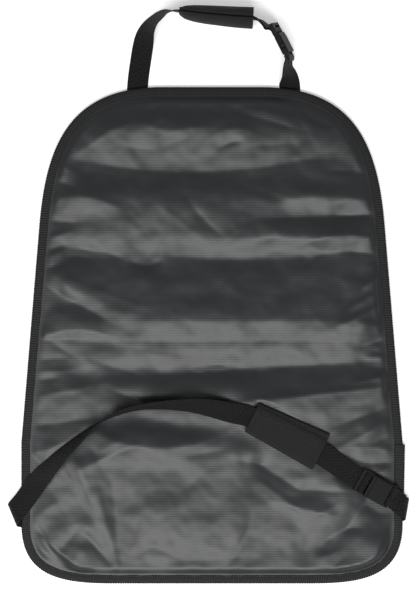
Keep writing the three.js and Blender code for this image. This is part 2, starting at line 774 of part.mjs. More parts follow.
// Arc of webbing round one corner of a bar, with its leading face outward (1) or against the bar (-1)
function cornerTurn(frame, facing, u, w, from, to, count) {
  const stations = [];
  for (let i = 0; i <= count; i += 1) {
    const angle = from + (to - from) * i / count;
    const a = THREE.MathUtils.degToRad(angle);
    const uu = u + TURN_RADIUS * Math.cos(a);
    const ww = w + TURN_RADIUS * Math.sin(a);
    const station = frameStation(frame, uu, ww, angle);
    station.face.multiplyScalar(facing);
    stations.push(station);
  }
  return stations;
}

// Over the male half's sliding bar and back below it
function slideBarWrap(frame, facing, from, to) {
  const wrap = [
    ...cornerTurn(frame, facing, SLIDE_BAR_LEFT, BAR_HIGH, from, 90, 2),
    ...cornerTurn(frame, facing, SLIDE_BAR_RIGHT, BAR_HIGH, 90, 0, 3),
    ...cornerTurn(frame, facing, SLIDE_BAR_RIGHT, BAR_LOW, 0, -90, 3),
  ];
  if (to < -90) wrap.push(...cornerTurn(frame, facing, SLIDE_BAR_LEFT, BAR_LOW, -90, to, 2));
  return wrap;
}

// Below the female half's bar, up through its slot and back over the bar
function tabBarWrap(frame, lastAngle) {
  return [
    ...cornerTurn(frame, -1, TAB_BAR_LEFT, BAR_LOW, -90, -180, 3),
    ...cornerTurn(frame, -1, TAB_BAR_LEFT, BAR_HIGH, 180, 90, 3),
    ...cornerTurn(frame, -1, TAB_BAR_RIGHT, BAR_HIGH, 90, lastAngle, 2),
  ];
}

// Seat strap: sewn on the left, half twisted as it crosses the mat, through the keeper to the buckle

const KEEPER_LAYER_LOW = PAD_THICK + CLEAR + WEBBING_THICK / 2;
const KEEPER_LAYER_HIGH = KEEPER_LAYER_LOW + WEBBING_THICK + CLEAR;
const KEEPER_THICK = 2 * PAD_THICK + 2 * WEBBING_THICK + 3 * CLEAR;
const STRAP_ON_RIM = Z_RIM + CLEAR + WEBBING_THICK / 2;

const KEEPER_SHARES = [-0.04, 0.05, 0.5, 0.95, 1.04];
const SEAT_KEEPER_START = onMat(251.3, 416.8);
const SEAT_KEEPER_END = onMat(320, 451.3);
const SEAT_BUCKLE_MOUTH = onMat(370.8, 485.4);
const SEAT_BUCKLE_END = onMat(397, 500);

const SEAT_KEEPER = layFrame(SEAT_KEEPER_START, SEAT_KEEPER_END, SEAT_KEEPER_LENGTH,
  SEAT_KEEPER_WIDTH_RIGHT / 2, CLEAR);

function seatBuckleFrame() {
  const direction = SEAT_BUCKLE_END.clone().sub(SEAT_BUCKLE_MOUTH).normalize();
  const start = SEAT_BUCKLE_MOUTH.clone().addScaledVector(direction, -FRAME_LENGTH);
  const length = FRAME_LENGTH + TAB_BAR_RIGHT + TAB_RETURN;
  const laid = layFrame(start, SEAT_BUCKLE_END, length, BUCKLE_HALF, CLEAR);
  return makeFrame(inFrame(laid, FRAME_LENGTH, 0, 0), laid.u, laid.w);
}

const SEAT_BUCKLE = seatBuckleFrame();

const SEAT_FOLD_LEFT = onMat(13, 515);
const SEAT_FOLD_LEFT_INWARD = vec(0.923, 0.385).normalize();
const SEAT_FOLD_SLANT = 0.55;
const SEAT_ROUTE = [
  [24.5, 500, 0],
  [38, 481, -12],
  [52, 465.5, -38],
  [66, 451, -56],
  [81, 437.5, -68],
  [98, 423.5, -88],
  [118, 412.5, -103],
  [140, 406.5, -105],
  [163, 404.3, -115],
  [181, 404, -124],
  [199, 405.3, -138],
  [215, 408, -154],
  [231, 412, -168],
];

function routeStations(route) {
  const flat = route.map(([px, py]) => onMat(px, py));
  return flat.map((place, i) => {
    const before = flat[Math.max(0, i - 1)];
    const after = flat[Math.min(flat.length - 1, i + 1)];
    const direction = after.clone().sub(before).normalize();
    const roll = route[i][2];
    const halfShadow = HALF_WEBBING * Math.abs(Math.cos(THREE.MathUtils.degToRad(roll))) + 2;
    const base = highestUnder(place, direction, halfShadow, STRAP_STEP);
    return place.clone().setZ(base + CLEAR + strapHeight(roll));
  });
}

function seatStrap() {
  const low = WEBBING_THICK / 2;
  const fold = edgeFold(SEAT_FOLD_LEFT, SEAT_FOLD_LEFT_INWARD, SEAT_FOLD_SLANT, low, STRAP_ON_RIM);
  const first = fold[fold.length - 1];
  const under = fold[1].place.clone().sub(fold[0].place).setZ(0).normalize();
  const across = routeStations(SEAT_ROUTE);
  const keeperLayer = KEEPER_SHARES.map((t) => {
    return inFrame(SEAT_KEEPER, SEAT_KEEPER_LENGTH * t, 0, KEEPER_LAYER_HIGH);
  });
  const entry = inFrame(SEAT_BUCKLE, -FRAME_LENGTH - 6, 0, 1.5 * WEBBING_THICK + CLEAR);
  const entryEnd = inFrame(SEAT_BUCKLE, SLIDE_BAR_LEFT - FRAME_SLOT, 0, 1.5 * WEBBING_THICK + CLEAR);
  const places = [first.place, ...across, ...keeperLayer, entry, entryEnd];
  const rolls = [0, ...SEAT_ROUTE.map((r) => r[2]), ...KEEPER_SHARES.map(() => -180), -180, -180];
  const run = rolledRun(places, rolls);
  const wrap = slideBarWrap(SEAT_BUCKLE, -1, 140, -90);
  const tail = tailStations(SEAT_BUCKLE, SEAT_KEEPER);
  return ribbon([...sewnEnd(fold, under, SEWN_LENGTH), ...fold, ...run.slice(2), ...wrap, ...tail]);
}

// Spare webbing doubled back under the strap, which ends inside the keeper
function tailStations(buckle, keeper) {
  const low = WEBBING_THICK / 2;
  const drift = -2.4;
  const places = [
    inFrame(buckle, SLIDE_BAR_LEFT - 1, 0, low),
    inFrame(buckle, -FRAME_LENGTH, 0, low),
    inFrame(buckle, -FRAME_LENGTH - 6, 0, low),
    ...[1.04, 0.95, 0.5, 0.2].map((t) => inFrame(keeper, SEAT_KEEPER_LENGTH * t, drift, KEEPER_LAYER_LOW)),
  ];
  return rolledRun(places, places.map(() => 0));
}

const SEAT_FOLD_RIGHT = onMat(406.5, 509);
const SEAT_FOLD_RIGHT_INWARD = vec(-0.986, 0.164).normalize();
const SEAT_TAB_SLANT = 0.36;

function seatTab() {
  const low = WEBBING_THICK / 2;
  const top = Z_RIM + TAPE_THICK + CLEAR + low;
  const fold = edgeFold(SEAT_FOLD_RIGHT, SEAT_FOLD_RIGHT_INWARD, -SEAT_TAB_SLANT, low, top);
  const under = fold[1].place.clone().sub(fold[0].place).setZ(0).normalize();
  const first = fold[fold.length - 1];
  const arrive = inFrame(SEAT_BUCKLE, TAB_BAR_RIGHT + 3, 0, low);
  const below = inFrame(SEAT_BUCKLE, TAB_BAR_LEFT + 1, 0, low);
  const run = rolledRun([first.place, arrive, below], [0, 0, 0]);
  const wrap = tabBarWrap(SEAT_BUCKLE, 50);
  const high = 1.5 * WEBBING_THICK + CLEAR;
  const back = [
    frameStation(SEAT_BUCKLE, TAB_BAR_RIGHT + 4, high + 0.4, -90),
    frameStation(SEAT_BUCKLE, TAB_BAR_RIGHT + TAB_RETURN, high + 0.7, -90),
  ];
  return ribbon([...sewnEnd(fold, under, SEWN_LENGTH), ...fold, ...run.slice(1), ...wrap, ...back]);
}

// Keepers

// Thickens an open line of points into a closed section
function thicken(line, thickness) {
  const half = thickness / 2;
  const sides = line.map((point, i) => {
    const before = line[Math.max(0, i - 1)];
    const after = line[Math.min(line.length - 1, i + 1)];
    const dx = after[0] - before[0];
    const dy = after[1] - before[1];
    const size = Math.hypot(dx, dy);
    return [-dy / size * half, dx / size * half];
  });
  const outer = line.map((p, i) => new THREE.Vector2(p[0] + sides[i][0], p[1] + sides[i][1]));
  const inner = line.map((p, i) => new THREE.Vector2(p[0] - sides[i][0], p[1] - sides[i][1]));
  return [...outer, ...inner.reverse()];
}

// Middle line of the seat keeper's section: folded on one side, its lips closed on the other
function seatKeeperLine(width) {
  const half = width / 2;
  const low = PAD_THICK / 2;
  const high = KEEPER_THICK - low;
  const radius = (high - low) / 2;
  const centre = (high + low) / 2;
  const line = [[half, low], [HALF_WEBBING + 2, low], [0, low], [-half + radius + low, low]];
  for (const degrees of [-120, -150, -180, -210, -240]) {
    const a = THREE.MathUtils.degToRad(degrees);
    line.push([-half + radius + low + radius * Math.cos(a), centre + radius * Math.sin(a)]);
  }
  const lip = low + PAD_THICK + LIP_GAP;
  const turn = HALF_WEBBING + CLEAR + 1;
  line.push([-half + radius + low, high], [0, high], [turn - 2, high], [turn + 0.5, high - 0.5]);
  line.push([Math.min(turn + 3.5, half - 1.2), lip + 0.3], [half, lip]);
  return line;
}

function seatKeeper() {
  const steps = [0, 0.12, 0.3, 0.5, 0.7, 0.88, 1];
  const rings = steps.map((t) => {
    const width = SEAT_KEEPER_WIDTH_LEFT + (SEAT_KEEPER_WIDTH_RIGHT - SEAT_KEEPER_WIDTH_LEFT) * t;
    const section = thicken(seatKeeperLine(width), PAD_THICK);
    return section.map((p) => inFrame(SEAT_KEEPER, SEAT_KEEPER_LENGTH * t, p.x, p.y));
  });
  return loft(rings, thicken(seatKeeperLine(SEAT_KEEPER_WIDTH_LEFT), PAD_THICK), false);
}

// Headrest loop: the strap leaves the mat flat, then stands on edge through its keeper to the buckle

const HEAD_ROLL = -72;
const HEAD_DIRECTION = vec(0.447, -0.894).normalize();
const HEAD_KEEPER_ROUTE = [[179.5, 12.6], [184, 13.1], [190, 14], [202, 15.4], [219, 16.9], [236, 18.3], [253, 19.2]];
const HEAD_KEEPER_HALF = [3.4, 6.9, 8.8, 10.5, 11.6, 12.4, 12.9];
const HEAD_STRAP_LIFT = PAD_THICK + 2 * CLEAR;

function headBuckleFrame() {
  const left = vec(-HEAD_DIRECTION.y, HEAD_DIRECTION.x);
  const face = rolledFace(HEAD_DIRECTION, HEAD_ROLL);
  const spreadDown = BUCKLE_HALF * Math.abs(Math.sin(THREE.MathUtils.degToRad(HEAD_ROLL)));
  const shift = BODY_THICK / 2 * Math.abs(Math.sin(THREE.MathUtils.degToRad(HEAD_ROLL)));
  const mouth = aboveMat(280, 38).addScaledVector(left, -shift);
  return makeFrame(mouth.setZ(spreadDown + CLEAR), HEAD_DIRECTION, face);
}

const HEAD_BUCKLE = headBuckleFrame();

function headKeeperCurve() {
  const places = HEAD_KEEPER_ROUTE.map(([px, py]) => aboveMat(px, py));
  return new THREE.CatmullRomCurve3(places, false, 'centripetal');
}

// Middle line of the headrest keeper's section: closed below the strap, its two lips meeting above it
function headKeeperLine(half, height) {
  const lip = LIP_GAP / 2 + PAD_THICK / 2;
  const low = PAD_THICK / 2;
  const side = half - PAD_THICK / 2;
  const right = [
    [lip, height - low],
    [Math.max(lip + 0.6, side * 0.42), height - 3.4],
    [side * 0.86, height * 0.68],
    [side, height * 0.45],
    [side * 0.9, height * 0.2],
    [Math.max(PAD_THICK / 2 + WEBBING_THICK / 2 + CLEAR, side * 0.5), low + 1.1],
  ];
  const left = right.map(([v, z]) => [-v, z]).reverse();
  return [...right, [0, low], ...left];
}

function headKeeper() {
  const curve = headKeeperCurve();
  const rings = HEAD_KEEPER_HALF.map((half, i) => {
    const t = i / (HEAD_KEEPER_HALF.length - 1);
    const place = curve.getPoint(t);
    const tangent = curve.getTangent(t);
    const left = vec(-tangent.y, tangent.x).normalize();
    const section = thicken(headKeeperLine(half, HEAD_KEEPER_HEIGHT), PAD_THICK);
    return section.map((p) => place.clone().addScaledVector(left, p.x).setZ(p.y));
  });
  return loft(rings, thicken(headKeeperLine(HEAD_KEEPER_HALF[1], HEAD_KEEPER_HEIGHT), PAD_THICK), false);
}

const HEAD_SEWN_Y = 91;
const HEAD_ROUTE = [
  [137.4, 90, 0, 0],
  [138.6, 76, 0, 0],
  [140.6, 62, 0, 0],
  [142.8, 48, -6, 0],
  [145.2, 37, -22, 0],
  [148.8, 28.4, -42, 0],
  [154, 21.4, -56, 0],
  [160.4, 16.2, -61, 0.2],
  [166.6, 13.5, -68, 0.8],
  [172.4, 12.5, -87, 2],
];

function headStrap() {
  const start = aboveMat(HEAD_ROUTE[0][0] - 0.4, HEAD_SEWN_Y).add(vec(0, -SEWN_LENGTH, WEBBING_THICK / 2));
  const base = HEAD_ROUTE.map(([px, py, roll, lift]) => aboveMat(px, py).setZ(strapHeight(roll) + lift));
  const curve = headKeeperCurve();
  const half = WEBBING_THICK / 2 + CLEAR / 2;
  const layer = (t, side) => {
    const tangent = curve.getTangentAt(t);
    const left = vec(-tangent.y, tangent.x).normalize();
    return curve.getPointAt(t).addScaledVector(left, side * half).setZ(HALF_WEBBING + HEAD_STRAP_LIFT);
  };
  const through = [layer(0, 0), layer(0.05, 0), layer(0.3, 0.6), layer(0.6, 1), layer(0.98, 1)];
  const bend = aboveMat(261, 22.2).setZ(HALF_WEBBING + 1.6);
  const near = inFrame(HEAD_BUCKLE, -18.4, 0, -4.7);
  const run = rolledRun(
    [start, ...base, ...through, bend, near],
    [0, ...HEAD_ROUTE.map((r) => r[2]), -90, -90, -90, -90, -90, -80, HEAD_ROLL],
  );
  const rise = [
    frameStation(HEAD_BUCKLE, SLIDE_BAR_LEFT - 4.4, -1, 150),
    frameStation(HEAD_BUCKLE, SLIDE_BAR_LEFT - 2.9, 1.4, 155),
    frameStation(HEAD_BUCKLE, SLIDE_BAR_LEFT - 1.9, 3.4, 150),
  ];
  const wrap = slideBarWrap(HEAD_BUCKLE, 1, 145, -90);
  const down = [
    frameStation(HEAD_BUCKLE, SLIDE_BAR_LEFT + 0.6, 0.45, -75),
    frameStation(HEAD_BUCKLE, SLIDE_BAR_LEFT - 1.8, -1, -50),
  ];
  const spareEnd = layer(0.6, 1).x;
  const doubled = [...run, rise[0]].filter((station) => station.place.x > spareEnd);
  const tail = turnedBack(doubled).slice(1);
  return ribbon([...run, ...rise, ...wrap, ...down, ...tail]);
}

const HEAD_TAB_ROUTE = [
  [287, 66.5, -62],
  [288.2, 72, -50],
  [288.6, 76, -38],
  [289, 80, -18],
  [289.5, 84.5, 0],
  [289.8, 88, 0],
];

function headTab() {
  const route = [...HEAD_TAB_ROUTE].reverse();
  const end = aboveMat(HEAD_TAB_ROUTE[5][0], 92).add(vec(0, -SEWN_LENGTH, WEBBING_THICK / 2));
  const places = route.map(([px, py, roll]) => aboveMat(px, py).setZ(strapHeight(roll)));
  const low = WEBBING_THICK / 2;
  const outside = inFrame(HEAD_BUCKLE, TAB_BAR_RIGHT + 2.5, 0, -0.6);
  const arrive = inFrame(HEAD_BUCKLE, TAB_BAR_RIGHT - 0.5, 0, low);
  const below = inFrame(HEAD_BUCKLE, TAB_BAR_LEFT + 1, 0, low);
  const rolls = [0, ...route.map((r) => -r[2]), -HEAD_ROLL, -HEAD_ROLL, -HEAD_ROLL];
  const run = rolledRun([end, ...places, outside, arrive, below], rolls);
  const wrap = tabBarWrap(HEAD_BUCKLE, 50);
  const high = 1.5 * WEBBING_THICK + CLEAR;
  const back = [frameStation(HEAD_BUCKLE, TAB_BAR_RIGHT + 4, high + 0.3, -90)];
  return ribbon([...run, ...wrap, ...back]);
}

// Materials

function finish(color, roughness) {
  return new THREE.MeshStandardMaterial({ color, roughness, metalness: 0 });
}

const PANEL_FINISH = finish(0x34383a, 0.42);
const TAPE_FINISH = finish(0x1d1e1f, 0.8);
const WEBBING_FINISH = finish(0x1b1c1d, 0.75);
const PAD_FINISH = finish(0x232425, 0.9);
const PLASTIC_FINISH = finish(0x18191a, 0.45);

const organizer = new THREE.Group();

function addPiece(name, geometry, material, frame) {
  const mesh = new THREE.Mesh(geometry, material);
  mesh.name = name;
  if (frame) mesh.applyMatrix4(frameMatrix(frame));
  organizer.add(mesh);
}

const UPPER_MOUTH_Y = HALF_LENGTH - UPPER_POCKET_MOUTH;
const UPPER_LOW_Y = UPPER_MOUTH_Y - UPPER_POCKET_DEPTH;
const LOWER_MOUTH_Y = HALF_LENGTH - LOWER_POCKET_MOUTH;
const LOWER_LOW_Y = -HALF_LENGTH + PANEL_INSET;

addPiece('back_panel', backPanel(), PANEL_FINISH);
addPiece('front_panel', frontPanel(), PANEL_FINISH);
addPiece('edge_binding', edgeBinding(), TAPE_FINISH);
addPiece('upper_pocket', pocketSheet(UPPER_MOUTH_Y, UPPER_LOW_Y, []), PANEL_FINISH);
addPiece('upper_pocket_hem', pocketHem(UPPER_MOUTH_Y, UPPER_LOW_Y), TAPE_FINISH);
addPiece('lower_pocket', pocketSheet(LOWER_MOUTH_Y, LOWER_LOW_Y, EDGE_STEPS), PANEL_FINISH);
addPiece('lower_pocket_hem', pocketHem(LOWER_MOUTH_Y, LOWER_LOW_Y), TAPE_FINISH);
addPiece('seat_strap', seatStrap(), WEBBING_FINISH);
addPiece('seat_tab', seatTab(), WEBBING_FINISH);
addPiece('seat_keeper', seatKeeper(), PAD_FINISH);
addPiece('seat_buckle_male', buckleMale(), PLASTIC_FINISH, SEAT_BUCKLE);
addPiece('seat_buckle_female', buckleFemale(), PLASTIC_FINISH, SEAT_BUCKLE);
addPiece('headrest_strap', headStrap(), WEBBING_FINISH);
addPiece('headrest_tab', headTab(), WEBBING_FINISH);
addPiece('headrest_keeper', headKeeper(), PAD_FINISH);
addPiece('headrest_buckle_male', buckleMale(), PLASTIC_FINISH, HEAD_BUCKLE);
addPiece('headrest_buckle_female', buckleFemale(), PLASTIC_FINISH, HEAD_BUCKLE);

// Origin at the middle of the underside
organizer.updateMatrixWorld(true);
const bounds = new THREE.Box3().setFromObject(organizer, true);
const middle = bounds.getCenter(new THREE.Vector3());
organizer.position.set(-middle.x, -middle.y, -bounds.min.z);
organizer.updateMatrixWorld(true);

export default organizer;
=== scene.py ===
"""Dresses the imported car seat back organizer: coated fabric, ribbed binding, webbing, keepers and buckles."""
import math

import bpy
import numpy as np
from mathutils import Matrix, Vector, noise
from mathutils.bvhtree import BVHTree


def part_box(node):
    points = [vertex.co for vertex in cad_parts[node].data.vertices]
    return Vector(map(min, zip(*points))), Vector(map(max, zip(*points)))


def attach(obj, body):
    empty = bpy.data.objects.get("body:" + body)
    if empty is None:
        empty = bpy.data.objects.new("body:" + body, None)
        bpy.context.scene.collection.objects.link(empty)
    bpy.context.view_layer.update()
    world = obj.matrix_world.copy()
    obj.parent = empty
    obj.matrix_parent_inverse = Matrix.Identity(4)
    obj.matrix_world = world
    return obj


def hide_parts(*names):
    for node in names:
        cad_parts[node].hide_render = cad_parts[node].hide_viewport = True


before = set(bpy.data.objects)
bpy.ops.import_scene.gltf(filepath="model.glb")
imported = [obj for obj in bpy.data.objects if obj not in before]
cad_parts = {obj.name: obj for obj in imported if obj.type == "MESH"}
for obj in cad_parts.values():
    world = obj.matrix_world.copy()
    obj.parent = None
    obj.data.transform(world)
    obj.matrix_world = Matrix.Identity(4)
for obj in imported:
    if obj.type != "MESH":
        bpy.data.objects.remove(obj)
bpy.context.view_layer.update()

# Driving sizes, in millimetres
MM = 0.001
PANEL_INSET = 1.0
BINDING_WIDTH = 10.5
TAPE_THICK = 0.7
FABRIC_THICK = 0.6
WEBBING_WIDTH = 25
WEBBING_THICK = 1.4
PAD_THICK = 1.6
CLEAR = 0.3
TOP_FLAT = 60
TOP_CORNER_ACROSS = 112
TOP_CORNER_DOWN = 96
SHOULDER_DROP = 166
SHOULDER_WIDTH = 414
SIDE_TAPER_END = 426
BOTTOM_CORNER_START = 524
BOTTOM_FLAT = 118
BOTTOM_CORNER_DOWN = 65
BOTTOM_CORNER_ACROSS = 59
OVERLAP_TOP = 428
OVERLAP_LENGTH = 64
OVERLAP_PROUD_TOP = 2.8
OVERLAP_PROUD_LOW = 1.6
DOME_HEIGHT = 6
DOME_REACH = 70
FLAT_RIM = 0.4
FOLD_REACH = 30
WRINKLE_REACH = 9
CREASE_ROUND = 1.2
HEM_WIDTH = 22
HEM_STITCH_INSET = 2.5
HEM_STITCH_MARGIN = 4
POCKET_FADE = 60
LIP_GAP = 0.6
RUMPLES = ((1.5, 46, 3.0), (1.1, 24, 9.0), (0.3, 11, 5.0))
PRESS_REACHES = (1, 2, 3.5, 6, 10, 14)
PRESS_TURNS = 8
PRESS_GAP = 1.1
PRESS_SLOPE = 0.3
LYING_ON_THE_BACK = ("seat_strap", "seat_keeper", "seat_tab", "seat_buckle_male", "seat_buckle_female")

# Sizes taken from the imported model
front_low, front_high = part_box("front_panel")
ORIGIN = np.array([(front_low.x + front_high.x) / 2, (front_low.y + front_high.y) / 2, 0.0])
HALF_WIDTH = (front_high.x - front_low.x) / 2 / MM + PANEL_INSET
HALF_LENGTH = (front_high.y - front_low.y) / 2 / MM + PANEL_INSET
Z_FRONT = front_low.z / MM
Z_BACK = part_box("back_panel")[0].z / MM
Z_POCKET = Z_FRONT - CLEAR - FABRIC_THICK
Z_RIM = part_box("edge_binding")[1].z / MM - TAPE_THICK
Z_FLANGE_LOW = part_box("edge_binding")[0].z / MM + TAPE_THICK
POCKET_SAG = Z_POCKET - FABRIC_THICK - CLEAR

# Folds are placed in pixels of the photograph on a mat of this size, and rise in millimetres:
# x, y, turn in degrees, half length, half width, rise, bend
DRAWN_MM = 1.2
DRAWN_CENTRE = (212, 335.25)
FOLDS = [
    (212, 128, 0, 105, 13, 4.2, 0.0006),
    (120, 133, 14, 34, 10, 1.2, 0),
    (205, 172, 1, 95, 12, -3.4, 0),
    (90, 166, -10, 30, 12, -1.6, 0),
    (200, 205, -6, 70, 16, 2.6, 0),
    (78, 190, -22, 34, 11, 2.6, 0),
    (320, 197, 1, 48, 7, 2.6, 0),
    (318, 216, 0, 50, 7, -2.2, 0),
    (322, 236, 0, 46, 7, 2.6, 0),
    (225, 259, 1, 105, 12, -4.4, 0),
    (84, 252, -18, 30, 9, -3, 0),
    (62, 284, -28, 26, 9, 2.6, 0),
    (215, 316, 0, 120, 14, 4.4, 0),
    (75, 304, -24, 26, 9, -2.2, 0),
    (352, 330, 3, 36, 8, 1.6, 0),
    (230, 369, 2, 110, 10, -4.6, 0),
    (60, 366, -4, 24, 9, -1.8, 0),
    (350, 388, 14, 28, 8, -2.2, 0),
    (235, 403, -2, 82, 14, 3.2, 0),
    (168, 424, -6, 50, 8, -3.2, 0),
    (160, 450, -12, 45, 12, 2.4, 0),
    (232, 452, 78, 26, 9, 2.6, 0),
    (268, 462, 62, 26, 9, -2.4, 0),
    (236, 530, 84, 34, 11, 2.8, 0),
    (262, 548, 80, 22, 8, -2.2, 0),
    (96, 505, 70, 40, 9, 2.8, 0),
    (124, 520, 76, 36, 8, -2, 0),
    (160, 505, 84, 40, 14, 1.8, 0),
    (330, 480, -28, 30, 12, 2, 0),
    (345, 535, 35, 36, 14, -2.4, 0),
    (374, 486, -29, 30, 16, -2.2, 0),
]
